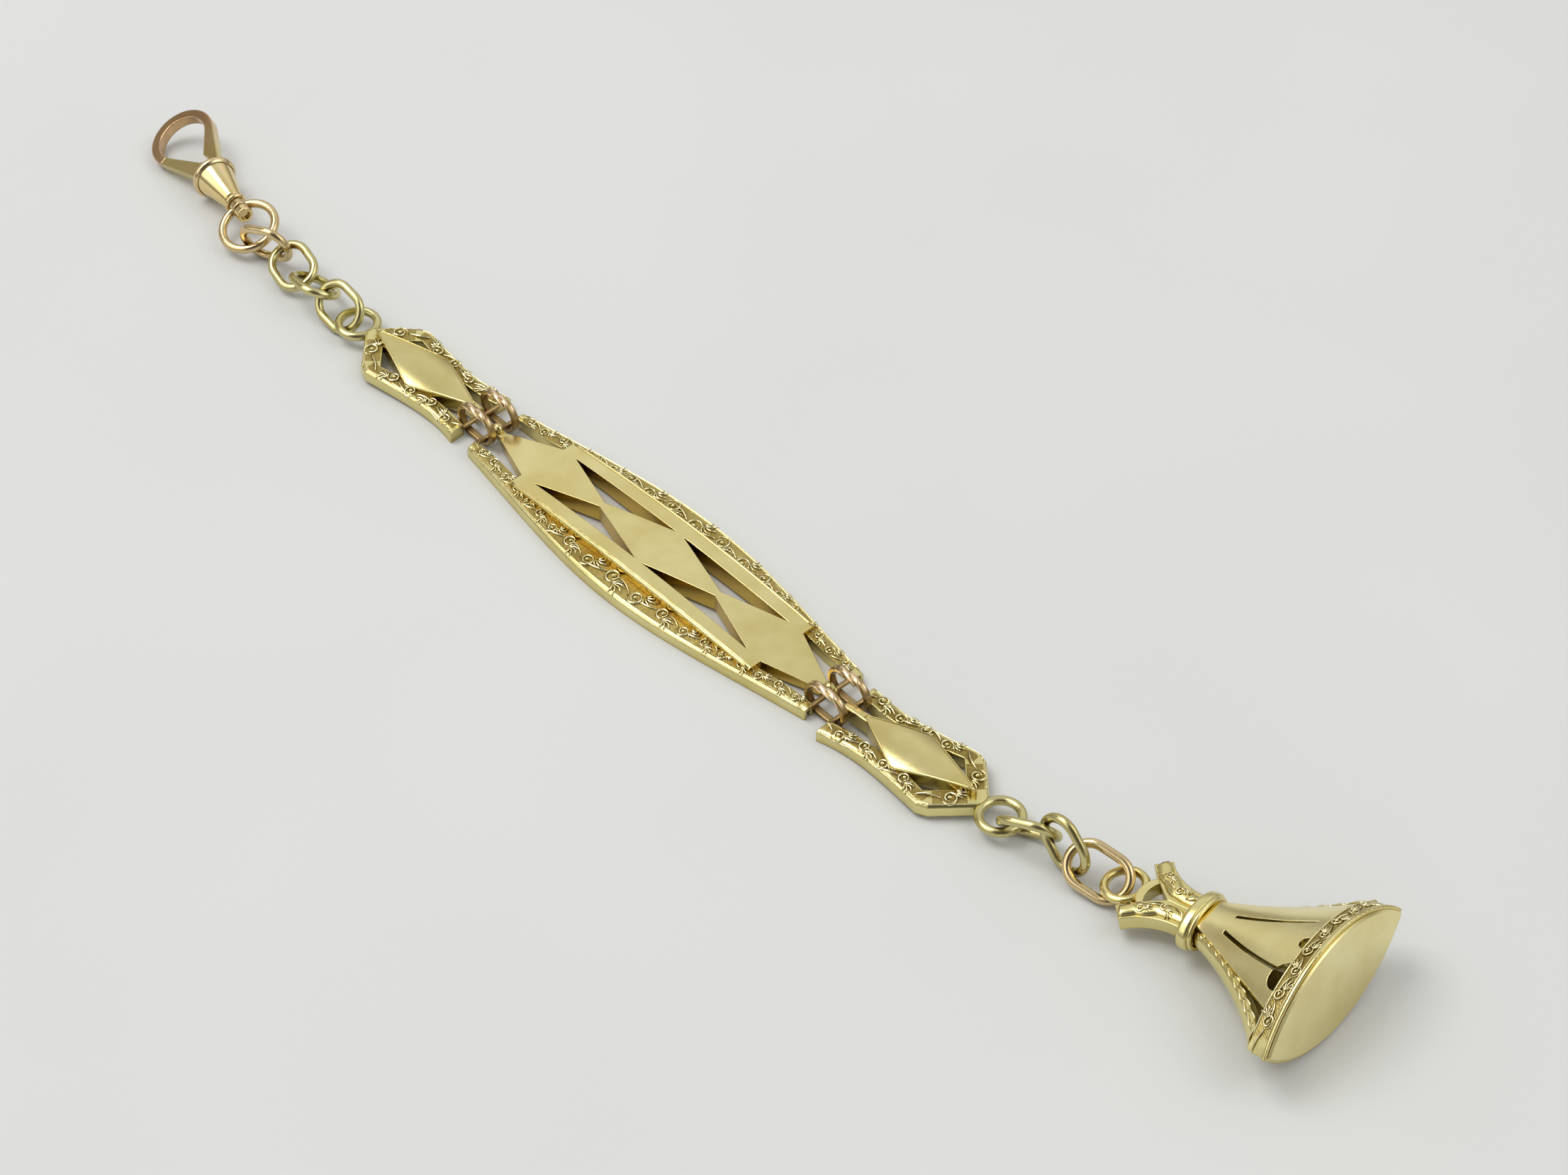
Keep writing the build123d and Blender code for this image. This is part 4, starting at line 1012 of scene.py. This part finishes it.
@dataclass
class JoiningRing:
    """One joining ring, whose upper part is a thick twisted band."""

    finishes: Finishes
    node: str
    body: str
    straight_half: float = 0.70
    outer_radius: float = 1.80
    start_angle: float = 8.0
    half_width: float = 0.46
    half_thick: float = 0.36
    inset: float = 0.27
    strands: int = 3
    twists: float = 1.5
    strand_depth: float = 0.30
    least_taper: float = 0.55
    taper_margin: float = 0.06
    steps: int = 56
    round_points: int = 30

    def path(self, along: float) -> tuple[Vector, Vector]:
        """A point of the ring's outer line and the way out from it.

        Args:
            along: Distance along the line from the start angle, over the top.

        Returns:
            The point and the outward direction, in the ring's own X and Z.
        """
        first = math.radians(90.0 - self.start_angle) * self.outer_radius
        straight = 2 * self.straight_half
        if along < first:
            shift = self.straight_half
            angle = math.radians(self.start_angle) + along / self.outer_radius
        elif along < first + straight:
            shift = self.straight_half - (along - first)
            angle = math.radians(90.0)
        else:
            shift = -self.straight_half
            angle = math.radians(90.0) + (along - first - straight) / self.outer_radius
        out = Vector((math.cos(angle), 0.0, math.sin(angle)))
        return ALONG * shift + out * self.outer_radius, out

    def dress(self) -> None:
        """Lays a thick twisted band over the upper part of the ring."""
        low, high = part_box(self.node)
        middle = (low + high) / 2
        side = Vector((0.0, 1.0, 0.0))
        quarter = math.radians(90.0 - self.start_angle) * self.outer_radius
        whole = 2 * (quarter + self.straight_half)
        turns = [2 * math.pi * k / self.round_points for k in range(self.round_points)]
        loops = []
        for share in spaced(0.0, 1.0, self.steps):
            point, out = self.path(whole * share)
            inner_share = min(max(share, self.taper_margin), 1.0 - self.taper_margin)
            taper = self.least_taper + (1.0 - self.least_taper) * math.sin(math.pi * inner_share)
            loop = []
            for turn in turns:
                wave = abs(math.sin(self.strands * (turn + 2 * math.pi * self.twists * share) / 2))
                swell = taper * (1.0 - self.strand_depth + self.strand_depth * wave)
                reach = out * (math.sin(turn) * self.half_thick * swell - self.inset)
                across = side * (math.cos(turn) * self.half_width * swell)
                loop.append(middle + (point + reach + across) * MM)
            loops.append(loop)
        work = Metalwork(f"twist_{self.node}")
        work.rings(loops)
        work.finish(self.body, Slot.ROSE, self.finishes[Look.ROSE])


@dataclass
class MiddlePanel:
    """The long panel: two engraved rails with a pierced, crowned plate between them."""

    finishes: Finishes
    place: Place
    nodes: dict[str, bpy.types.Object]
    half_length: float = 23.0
    inner_stations: tuple[Spot, ...] = ((0.0, 3.90), (10.7, 3.783), (16.79, 2.886), (23.0, 2.44))
    outer_stations: tuple[Spot, ...] = ((0.0, 6.55), (10.7, 5.60), (16.79, 4.585), (23.0, 3.55))
    plain_share: float = 0.10
    outer_margin: float = 0.20
    inner_margin: float = 0.08
    end_margin: float = 0.75
    line_share: float = 0.98
    line_insets: Span = (0.05, 0.19)
    line_steps: int = 80
    nub_half: Triple = (0.62, 0.47, 0.52)
    nub_rise: float = 0.05
    edge_reach: float = 16.1
    edge_place: float = 4.03
    edge_narrowing: float = 0.16
    edge_length: float = 16.3
    edge_half: float = 0.16
    edge_height: float = 0.14
    edge_steps: int = 60

    def dress_rail(self, side: Side) -> None:
        """Lays the scroll work and two rim lines on one rail.

        Args:
            side: Which rail.
        """
        name = side.node("middle_rail")
        surface = Skin(self.nodes[name]).seen_from_above(self.place, side.value)
        inner, outer = even_curve(self.inner_stations), even_curve(self.outer_stations)

        def top(x: float) -> float:
            """Outer edge of the engraved band."""
            return outer(x) - self.plain_share * (outer(x) - inner(x)) - self.outer_margin

        def bottom(x: float) -> float:
            """Inner edge of the engraved band."""
            return inner(x) + self.inner_margin

        work = Metalwork(f"scrolls_{name}")
        end = self.half_length - self.end_margin
        SCROLLS.run(work, -end, end, bottom, top, surface)
        reach = self.half_length * self.line_share
        xs = spaced(-reach, reach, self.line_steps)
        for inset in self.line_insets:
            work.fine_line([(x, top(x) + inset) for x in xs], surface)
        looks = self.finishes[Look.SCROLLS], self.finishes[Look.GROUND]
        work.finish("middle_panel", Slot.ENGRAVED, *looks)

    def plate_edge(self, x: float) -> float:
        """Half width of the pierced plate, where its edge line lies."""
        return self.edge_place - self.edge_narrowing * (x / self.edge_length) ** 2

    def dress(self) -> None:
        """Dresses the rails, then rounds the tongues and the plate's edges."""
        for side in Side:
            self.dress_rail(side)
        work = Metalwork("beads_middle_panel")
        for node in ("middle_tongue_clasp_end", "middle_tongue_seal_end"):
            low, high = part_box(node)
            out = -1.0 if (low.x + high.x) / 2 < self.place.origin.x else 1.0
            reach = (low.x if out < 0 else high.x) - out * self.nub_half[0] * MM
            centre = Vector((reach, (low.y + high.y) / 2, high.z + self.nub_rise * MM))
            work.dome(Place(centre, ALONG, UP), *self.nub_half)
        above = Skin(self.nodes["middle_plate"]).seen_from_above(self.place)
        xs = spaced(-self.edge_reach, self.edge_reach, self.edge_steps)
        for hand in (-1, 1):
            line = [(x, hand * self.plate_edge(x)) for x in xs]
            work.stroke(line, self.edge_half, self.edge_height, above, 1.0)
        work.finish("middle_panel", Slot.POLISHED, self.finishes[Look.POLISHED])


@dataclass
class EndPanel:
    """A shield-shaped panel: engraved frame, crowned kite plate, and the eye at its point."""

    finishes: Finishes
    name: str
    place: Place
    nodes: dict[str, bpy.types.Object]
    kite_start: float
    nub: bool = False
    kite_end: float = 15.3
    kite_corner: Spot = (7.75, 2.70)
    kite_inset: float = 0.13
    kite_tip_gap: float = 0.5
    kite_tip_half: float = 0.10
    kite_edge_half: float = 0.085
    kite_edge_height: float = 0.08
    kite_edge_blunt: float = 0.9
    kite_edge_steps: int = 24
    frame_run: Span = (0.45, 12.3)
    frame_line: Span = (0.2, 12.8)
    frame_line_steps: int = 40
    inner_stations: tuple[Spot, ...] = (
        (0.0, 2.07), (4.9, 1.72), (9.0, 2.12), (11.5, 2.62), (14.2, 1.2)
    )
    outer_stations: tuple[Spot, ...] = (
        (0.0, 3.75), (4.9, 3.28), (9.0, 3.72), (12.0, 4.18), (13.1, 3.75), (15.5, 1.9)
    )
    inner_margin: float = 0.08
    outer_margin: float = 0.30
    line_inset: float = 0.04
    point_start: Spot = (12.08, 3.21)
    point_slope: float = 44.5
    point_half: float = 0.72
    point_run: Span = (0.75, 3.75)
    point_line: float = 3.6
    point_line_inset: float = 0.12
    point_line_steps: int = 16
    nub_place: Triple = (0.35, 0.0, 1.25)
    nub_half: Triple = (0.62, 0.42, 0.50)

    def edge_kite(self) -> None:
        """Lays a fine rounded edge round the kite-shaped plate."""
        work = Metalwork(f"edges_{self.name}_plate")
        above = Skin(self.nodes[f"{self.name}_plate"]).seen_from_above(self.place)
        wide_x, wide_y = self.kite_corner
        climb = wide_y - self.kite_inset - self.kite_tip_half
        for hand in (1, -1):
            for tip in (self.kite_start + self.kite_tip_gap, self.kite_end - self.kite_tip_gap):
                line = [
                    (tip + (wide_x - tip) * t, hand * (self.kite_tip_half + climb * t))
                    for t in spaced(0.0, 1.0, self.kite_edge_steps)
                ]
                half, high = self.kite_edge_half, self.kite_edge_height
                work.stroke(line, half, high, above, self.kite_edge_blunt)
        work.finish(self.name, Slot.POLISHED, self.finishes[Look.POLISHED])

    def dress_half(self, work: Metalwork, surface: Surface) -> None:
        """Lays the scroll work on one half of the frame, then along its slope to the eye.

        Args:
            work: The mesh that takes the work.
            surface: The frame, with Y counted outwards from the panel's middle line.
        """
        inner, outer = chained(self.inner_stations), chained(self.outer_stations)

        def bottom(x: float) -> float:
            """Inner edge of the engraved band."""
            return inner(x) + self.inner_margin

        def top(x: float) -> float:
            """Outer edge of the engraved band."""
            return outer(x) - self.outer_margin

        def slanted(u: float, v: float, height: float) -> Vector:
            """A point over the frame's slanted part.

            Args:
                u: Distance along the slope, towards the eye.
                v: Distance outwards from the slope's middle line.
                height: Height over the surface.

            Returns:
                The point, in metres.
            """
            x = self.point_start[0] + u * math.cos(slope) + v * math.sin(slope)
            y = self.point_start[1] - u * math.sin(slope) + v * math.cos(slope)
            return surface(x, y, height)

        slope = math.radians(self.point_slope)
        half = self.point_half
        BOLD_SCROLLS.run(work, *self.frame_run, bottom, top, surface)
        BOLD_SCROLLS.run(work, *self.point_run, lambda u: -half, lambda u: half, slanted)
        us = spaced(0.0, self.point_line, self.point_line_steps)
        work.fine_line([(u, half + self.point_line_inset) for u in us], slanted)
        xs = spaced(*self.frame_line, self.frame_line_steps)
        work.fine_line([(x, top(x) + self.line_inset) for x in xs], surface)

    def dress(self) -> None:
        """Lays the edge round the kite, the scroll work and, on one panel, a nub."""
        self.edge_kite()
        skin = Skin(self.nodes[f"{self.name}_frame"])
        work = Metalwork(f"scrolls_{self.name}_frame")
        for hand in (1, -1):
            self.dress_half(work, skin.seen_from_above(self.place, hand))
        looks = self.finishes[Look.SCROLLS], self.finishes[Look.DARK_GROUND]
        work.finish(self.name, Slot.ENGRAVED, *looks)
        if self.nub:
            bead = Metalwork(f"bead_{self.name}")
            spot = Place(self.place.at(*self.nub_place), self.place.x, self.place.z)
            bead.dome(spot, *self.nub_half)
            bead.finish(self.name, Slot.POLISHED, self.finishes[Look.POLISHED])


@dataclass
class Seal:
    """The pendant seal: horns, collar, arms, pierced shell and pointed oval rim."""

    finishes: Finishes
    place: Place
    nodes: dict[str, bpy.types.Object]
    rim_back: float = 11.1
    rim_front: float = 12.7
    back_half: Spot = (9.4, 4.25)
    front_half: Spot = (9.6, 4.8)
    rim_margin: float = 0.22
    rim_reach: float = 8.55
    rim_line_reach: float = 8.6
    rim_line_inset: float = 0.12
    rim_line_half: float = 0.09
    rim_line_height: float = 0.12
    rim_line_blunt: float = 0.6
    rim_line_steps: int = 96
    horn_stations: tuple[Spot, ...] = (
        (-6.0, 3.15), (-4.6, 2.05), (-3.0, 1.15), (-1.8, 1.0), (-0.5, 1.0)
    )
    horn_reach: Span = (-5.95, -0.60)
    horn_half: float = 0.78
    horn_crown: float = 0.36
    horn_blunt: float = 0.86
    horn_steps: int = 24
    horn_curls: tuple[tuple[float, float, float, int], ...] = (
        (-4.45, 0.02, 0.62, 1), (-2.75, 0.0, 0.66, -1)
    )
    horn_leaf_root: Spot = (-1.9, -0.35)
    horn_leaf_reach: Spot = (1.2, 0.7)
    horn_leaf_half: float = 0.12
    horn_leaf_height: float = 0.22
    horn_leaf_shares: tuple[float, ...] = (0.0, 0.3, 0.6, 1.0)
    leg_line: Triple = (1.45, 0.24, 0.033)
    leg_leaves: int = 9
    leg_start: float = 1.3
    leg_pitch: float = 1.02
    leaf_size: float = 0.30
    leaf_growth: float = 0.035
    leaf_stretch: float = 1.9
    leaf_curve: Spot = (1.15, 0.45)
    leaf_half: float = 0.11
    leaf_height: float = 0.15
    leaf_bead: float = 0.12
    leaf_blunt: float = 0.3
    leaf_steps: int = 4
    collar_middle: float = 0.62
    collar_half: Spot = (2.55, 1.85)
    collar_bead: float = 0.24

    def rim_surface(self, hand: int) -> Surface:
        """The rim's outer surface on one side.

        Args:
            hand: +1 for the front, -1 for the back.

        Returns:
            A function of the place along the rim, across it, and the height over it.
        """

        def surface(x: float, y: float, height: float) -> Vector:
            """A point over the rim.

            Args:
                x: Place along the rim.
                y: Distance from its back edge towards its front edge.
                height: Height over the surface.

            Returns:
                The point, in metres.
            """
            share = y / (self.rim_front - self.rim_back)
            length = self.back_half[0] + (self.front_half[0] - self.back_half[0]) * share
            width = self.back_half[1] + (self.front_half[1] - self.back_half[1]) * share
            radius = (length**2 + width**2) / (2 * width)
            lean = math.asin(x / radius)
            high = math.sqrt(radius**2 - x**2) - (radius - width)
            side, lift = x + math.sin(lean) * height, high + math.cos(lean) * height
            return self.place.at(self.rim_back + y, side, hand * lift)

        return surface

    def dress_rim(self) -> None:
        """Lays the scroll work and two edge lines round the rim."""
        work = Metalwork("scrolls_seal_rim")
        low, reach = self.rim_margin, self.rim_reach
        high = self.rim_front - self.rim_back - low
        xs = spaced(-self.rim_line_reach, self.rim_line_reach, self.rim_line_steps)
        half, lift, inset = self.rim_line_half, self.rim_line_height, self.rim_line_inset
        for hand in (1, -1):
            surface = self.rim_surface(hand)
            RIM_SCROLLS.run(work, -reach, reach, lambda x: low, lambda x: high, surface)
            for y in (inset, self.rim_front - self.rim_back - inset):
                line = [(x, y) for x in xs]
                work.stroke(line, half, lift, surface, self.rim_line_blunt)
        work.finish("seal", Slot.ENGRAVED, self.finishes[Look.SCROLLS], self.finishes[Look.GROUND])

    def dress_horn(self, body: Metalwork, work: Metalwork, surface: Surface) -> None:
        """Lays a rounded crown on one face of a horn, and curls and a leaf on the crown.

        Args:
            body: The mesh that takes the crown.
            work: The mesh that takes the curls.
            surface: The horn, with Y counted outwards from the seal's middle line.
        """
        spine = chained(self.horn_stations)

        def crowned(x: float, y: float, height: float) -> Vector:
            """A point over the horn's rounded face."""
            off = (y - spine(x)) / self.horn_half
            return surface(x, y, height + self.horn_crown * max(0.0, 1.0 - off * off))

        line = [(x, spine(x)) for x in spaced(*self.horn_reach, self.horn_steps)]
        body.stroke(line, self.horn_half, self.horn_crown, surface, self.horn_blunt)
        for x, shift, size, side in self.horn_curls:
            SCROLLS.unit(work, x, spine(x) + shift, size, side, crowned)
        (root, drop), (long, rise) = self.horn_leaf_root, self.horn_leaf_reach
        leaf = [
            (root + long * t, spine(root) + drop + rise * t * t) for t in self.horn_leaf_shares
        ]
        work.stroke(leaf, self.horn_leaf_half, self.horn_leaf_height, crowned, self.leaf_blunt)

    def dress_leg(self, work: Metalwork, flat: Surface) -> None:
        """Lays pairs of growing leaves and beads down one face of an arm.

        Args:
            work: The mesh that takes them.
            flat: The arm, with Y counted outwards from the seal's middle line.
        """

        def surface(x: float, y: float, height: float) -> Vector:
            """A point over the arm, y counted from its middle line."""
            return flat(x, first + slope * x + bend * x * x + y, height)

        first, slope, bend = self.leg_line
        rise, fall = self.leaf_curve
        for k in range(self.leg_leaves):
            x = self.leg_start + self.leg_pitch * k
            size = self.leaf_size + self.leaf_growth * k
            long = size * self.leaf_stretch
            for lean in (-1, 1):
                leaf = [
                    (x + long * t, lean * size * (rise * t - fall * t * t))
                    for t in spaced(0.0, 1.0, self.leaf_steps)
                ]
                work.stroke(leaf, self.leaf_half, self.leaf_height, surface, self.leaf_blunt)
            work.bead(x + long, 0.0, self.leaf_bead, self.leaf_height, surface)

    def faces(self, stem: str) -> list[Surface]:
        """Both faces of a far and a near solid.

        Args:
            stem: The start of the solids' names.

        Returns:
            The four surfaces, with Y counted outwards from the seal's middle line.
        """
        return [
            Skin(self.nodes[side.node(stem)]).seen_from_above(self.place.face(hand), side.value * hand)
            for side in Side
            for hand in (1, -1)
        ]

    def dress(self) -> None:
        """Lays all the seal's relief."""
        self.dress_rim()
        body, work = Metalwork("crowns_seal_horns"), Metalwork("scrolls_seal_horns")
        for surface in self.faces("seal_horn"):
            self.dress_horn(body, work, surface)
        body.finish("seal", Slot.ENGRAVED, self.finishes[Look.CARVED])
        work.finish("seal", Slot.ENGRAVED, self.finishes[Look.SCROLLS])
        leaves = Metalwork("leaves_seal_legs")
        for surface in self.faces("seal_leg"):
            self.dress_leg(leaves, surface)
        leaves.finish("seal", Slot.ENGRAVED, self.finishes[Look.SCROLLS])
        bead = Metalwork("bead_seal_collar")
        bead.hoop(self.place.loop(self.collar_middle, *self.collar_half), self.collar_bead)
        bead.finish("seal", Slot.POLISHED, self.finishes[Look.POLISHED])


@dataclass
class Clasp:
    """The swivel clasp, whose barrel ends in a rounded bead under the bow."""

    finishes: Finishes
    node: bpy.types.Object
    joint: dict[str, Any]
    bead_radius: float = 0.46
    proud: float = 0.14
    wall: float = 0.20
    slack: float = 0.03

    def dress(self) -> None:
        """Lays the bead round the widest part of the barrel, clear of what goes into it."""
        start = Vector(self.joint["pos_m"])
        axis = Vector(self.joint["axis"]).normalized()
        spots = []
        for vertex in self.node.data.vertices:
            along = (vertex.co - start).dot(axis)
            spots.append(((vertex.co - start - axis * along).length, along))
        widest = max(spots)[0]
        band = [along for radius, along in spots if radius > widest - self.slack * MM]
        place = Place(start + axis * (min(band) + max(band)) / 2, axis, UP)
        reach = widest / MM + self.proud - self.bead_radius
        work = Metalwork("bead_clasp_barrel")
        work.hoop(place.loop(0.0, reach, reach), self.bead_radius)
        least = widest - self.wall * MM
        for vertex in work.mesh.verts:
            along = axis * (vertex.co - place.origin).dot(axis)
            out = vertex.co - place.origin - along
            if out.length < least:
                vertex.co = place.origin + along + out.normalized() * least
        work.finish("clasp", Slot.ROSE, self.finishes[Look.SOFT_ROSE])


@dataclass(frozen=True)
class Lamp:
    """One soft lamp that faces the fob, in watts, metres and degrees."""

    name: str
    power: float
    size: float
    azimuth: float
    elevation: float
    reach: float


@dataclass(frozen=True)
class Patch:
    """A soft round patch of the room. It fades between two cosines of the angle from its middle."""

    towards: Triple
    start: float
    full: float
    colour: Colour


@dataclass
class Studio:
    """Table, lamps, sky and camera. Lengths are in metres, but distance, aim and sensor in mm."""

    azimuth: float = 46.943
    elevation: float = 44.624
    roll: float = 0.327
    distance: float = 335.8
    aim: Triple = (11.324, 2.512, 0.0)
    image_width: int = 2212
    focal_in_pixels: float = 5257.7
    sensor: float = 36.0
    near_clip: float = 0.01
    table_size: float = 6.0
    table_drop: float = 0.02 * MM
    table_colour: Colour = (0.722, 0.727, 0.710)
    table_shade: float = 0.97
    table_cloud: float = 18.0
    table_detail: float = 2.0
    table_roughness: float = 0.8
    sky_colour: Colour = (0.62, 0.62, 0.615)
    room: tuple[tuple[float, Colour], ...] = (
        (0.0, (0.40, 0.38, 0.34)),
        (0.52, (0.22, 0.20, 0.17)),
        (0.62, (0.55, 0.53, 0.50)),
        (0.78, (0.90, 0.90, 0.88)),
        (0.86, (0.84, 0.84, 0.83)),
        (1.0, (0.58, 0.58, 0.58)),
    )
    patches: tuple[Patch, ...] = (
        Patch((0.50, -0.50, 0.70), 0.72, 0.93, (0.10, 0.09, 0.08)),
        Patch((-0.78, -0.22, 0.59), 0.92, 0.985, (0.36, 0.32, 0.28)),
        Patch((-0.35, -0.70, 0.62), 0.88, 0.95, (1.55, 1.55, 1.50)),
    )
    lamps: tuple[Lamp, ...] = (
        Lamp("key", power=3.2, size=0.5, azimuth=-60.0, elevation=62.0, reach=0.9),
        Lamp("fill", power=1.2, size=0.6, azimuth=130.0, elevation=50.0, reach=1.0),
    )

    @staticmethod
    def outlook(azimuth: float, elevation: float) -> Vector:
        """The direction from the fob to what stands round from the front and up, in degrees."""
        a, e = math.radians(azimuth), math.radians(elevation)
        return Vector((math.sin(a) * math.cos(e), -math.cos(a) * math.cos(e), math.sin(e)))

    def table(self) -> None:
        """Lays the pale table."""
        bpy.ops.mesh.primitive_plane_add(size=self.table_size, location=(0, 0, -self.table_drop))
        top = bpy.context.object
        top.name = "table"
        made = bpy.data.materials.new("pale_table")
        shader = Shader(made)
        where = shader.node("ShaderNodeTexCoord", output="Object")
        patch = shader.clouds(where, self.table_cloud, self.table_detail)
        deep = tuple(self.table_shade * c for c in self.table_colour)
        colour = shader.mixed(patch, deep, self.table_colour)
        kinds = "ShaderNodeOutputMaterial", "ShaderNodeBsdfPrincipled"
        shader.close(*kinds, Base_Color=colour, Roughness=self.table_roughness)
        top.data.materials.append(made)

    def sky(self) -> None:
        """Lights the scene from all round, with darker parts for the metal to mirror."""
        world = bpy.data.worlds.new("light_tent")
        bpy.context.scene.world = world
        shader = Shader(world)
        where = shader.node("ShaderNodeTexCoord", output="Generated")
        height = shader.part(where, "Z") * 0.5 + 0.5
        mirrored = shader.node("ShaderNodeValToRGB", {"stops": self.room}, {0: height}, "Color")
        dot = {"operation": "DOT_PRODUCT"}
        for patch in self.patches:
            near = shader.node("ShaderNodeVectorMath", dot, {0: where, 1: patch.towards}, "Value")
            share = shader.eased(near, patch.start, patch.full)
            mirrored = shader.mixed(share, mirrored, patch.colour)
        glossy = shader.node("ShaderNodeLightPath", output="Is Glossy Ray")
        colour = shader.mixed(glossy, self.sky_colour, mirrored)
        shader.close("ShaderNodeOutputWorld", "ShaderNodeBackground", Color=colour, Strength=1.0)

    def hang(self, lamp: Lamp) -> None:
        """Hangs one lamp.

        Args:
            lamp: Its power, size and place.
        """
        data = bpy.data.lights.new(lamp.name, "AREA")
        data.energy = lamp.power
        data.size = lamp.size
        made = bpy.data.objects.new(lamp.name, data)
        back = self.outlook(lamp.azimuth, lamp.elevation)
        made.location = back * lamp.reach
        made.rotation_euler = back.to_track_quat("Z", "Y").to_euler()
        bpy.context.collection.objects.link(made)

    def camera(self) -> None:
        """Stands the camera where the photograph was taken from."""
        data = bpy.data.cameras.new("camera")
        data.sensor_width = self.sensor
        data.lens = self.focal_in_pixels / self.image_width * self.sensor
        data.clip_start = self.near_clip
        made = bpy.data.objects.new("camera", data)
        back = self.outlook(self.azimuth, self.elevation)
        turn, roll = math.radians(self.azimuth), math.radians(self.roll)
        level = Vector((math.cos(turn), math.sin(turn), 0.0))
        right = level * math.cos(roll) + back.cross(level) * math.sin(roll)
        up = back.cross(right)
        eye = Vector(self.aim) * MM + back * self.distance * MM
        rows = [(right[i], up[i], back[i], eye[i]) for i in range(3)]
        made.matrix_world = Matrix((*rows, (0.0, 0.0, 0.0, 1.0)))
        bpy.context.collection.objects.link(made)
        bpy.context.scene.camera = made

    def set_up(self) -> None:
        """Builds the whole studio."""
        self.table()
        self.sky()
        for lamp in self.lamps:
            self.hang(lamp)
        self.camera()
        bpy.context.scene.view_settings.view_transform = "Standard"


@dataclass
class Fob:
    """The whole fob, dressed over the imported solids."""

    frame: dict[str, Any]
    finishes: Finishes
    panel_tilt: float = 2.0
    clasp_heading: float = 181.19
    clasp_set_back: float = 0.02
    clasp_kite_start: float = 0.45
    seal_heading: float = 2.87
    seal_set_back: float = 0.18
    seal_kite_start: float = 1.90
    bar_height: float = 1.0
    middle_shift: float = 0.08
    seal_lay: Triple = (6.93, 9.26, 2.52)
    face_reach: float = 13.3

    def joint(self, child: str) -> dict[str, Any]:
        """The joint that carries a body."""
        return next(j for j in self.frame["record"]["behaviour"]["joints"] if j["child"] == child)

    def mount(self, name: str) -> dict[str, Any]:
        """A mount of the record."""
        return next(m for m in self.frame["record"]["mounts"] if m["name"] == name)

    def middle_place(self) -> Place:
        """Where the middle panel lies.

        Returns:
            The panel's centre, on the level of its underside.
        """
        bars = [Vector(self.joint(f"{end.value}_rings")["pos_m"]).x for end in End]
        far, near = (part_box(side.node("middle_rail")) for side in Side)
        home = (sum(bars) / 2 + self.middle_shift * MM, (near[0][1] + far[1][1]) / 2, far[0][2])
        return Place(Vector(home), ALONG, UP)

    def panel_place(self, end: End, heading: float, set_back: float) -> Place:
        """Where an end panel lies.

        Args:
            end: Which panel.
            heading: Its heading in degrees.
            set_back: How far its crossbar lies from its open end.

        Returns:
            The panel's place.
        """
        bar_middle = Vector(self.joint(f"{end.value}_panel")["pos_m"])
        bar = Place.turned(bar_middle, heading, self.panel_tilt)
        return Place(bar.at(-set_back, 0.0, -self.bar_height), bar.x, bar.z)

    def cover_solids(self) -> None:
        """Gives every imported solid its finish."""
        own = {
            Look.PIERCED: ["middle_plate"],
            Look.BOW: ["clasp_hook"],
            Look.KITE: ["clasp_gate", "clasp_panel_plate", "seal_panel_plate"],
            Look.BARREL: ["clasp_barrel", "swivel_post"],
            Look.SOFT_ROSE: ["swivel_ring", "link_1", "link_7"],
            Look.SHELL: ["seal_front_plate", "seal_back_plate", "seal_face"],
            Look.WIRE: ["clasp_panel_eye", "seal_panel_eye", *(f"link_{k}" for k in range(2, 7))],
        }
        own_looks = {node: look for look, nodes in own.items() for node in nodes}
        by_slot = {Slot.POLISHED: Look.POLISHED, Slot.ENGRAVED: Look.CARVED, Slot.ROSE: Look.ROSE}
        for entry in self.frame["record"]["subparts"]:
            node = entry["node"]
            look = by_slot[Slot(entry["material_slot"])]
            # Crossbars and ring solids, whose lower parts lie under the panels, take the dark copy:
            # painted shade.
            if "_bar" in node or "_ring_" in node:
                look = Look.TARNISHED
            look = own_looks.get(node, look)
            solid = self.frame["nodes"][node]
            solid.data.materials.clear()
            solid.data.materials.append(self.finishes[look])
            LOG.info("%s: %s", node, look.value)

    def build(self) -> None:
        """Dresses every sub-assembly in turn."""
        self.cover_solids()
        finishes, nodes = self.finishes, self.frame["nodes"]
        Clasp(finishes, nodes["clasp_barrel"], self.joint("clasp")).dress()
        MiddlePanel(finishes, self.middle_place(), nodes).dress()
        for end in End:
            for side in Side:
                JoiningRing(finishes, side.node(f"{end.value}_ring"), f"{end.value}_rings").dress()
        lie = self.panel_place(End.CLASP, self.clasp_heading, self.clasp_set_back)
        EndPanel(finishes, "clasp_panel", lie, nodes, self.clasp_kite_start).dress()
        lie = self.panel_place(End.SEAL, self.seal_heading, self.seal_set_back)
        EndPanel(finishes, "seal_panel", lie, nodes, self.seal_kite_start, nub=True).dress()
        face = Place.turned(Vector(self.mount("seal_face")["pos_m"]), *self.seal_lay)
        Seal(finishes, Place(face.at(-self.face_reach), face.x, face.z), nodes).dress()


def main() -> None:
    """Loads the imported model, dresses it, and sets up the studio."""
    logging.basicConfig(level=logging.INFO)
    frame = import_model()
    low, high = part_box("clasp_hook")
    fade = tuple(low.x + share * (high.x - low.x) for share in BOW_FADE_SHARES)
    Fob(frame, Finishes(fade)).build()
    Studio().set_up()


if __name__ == "__main__":
    main()
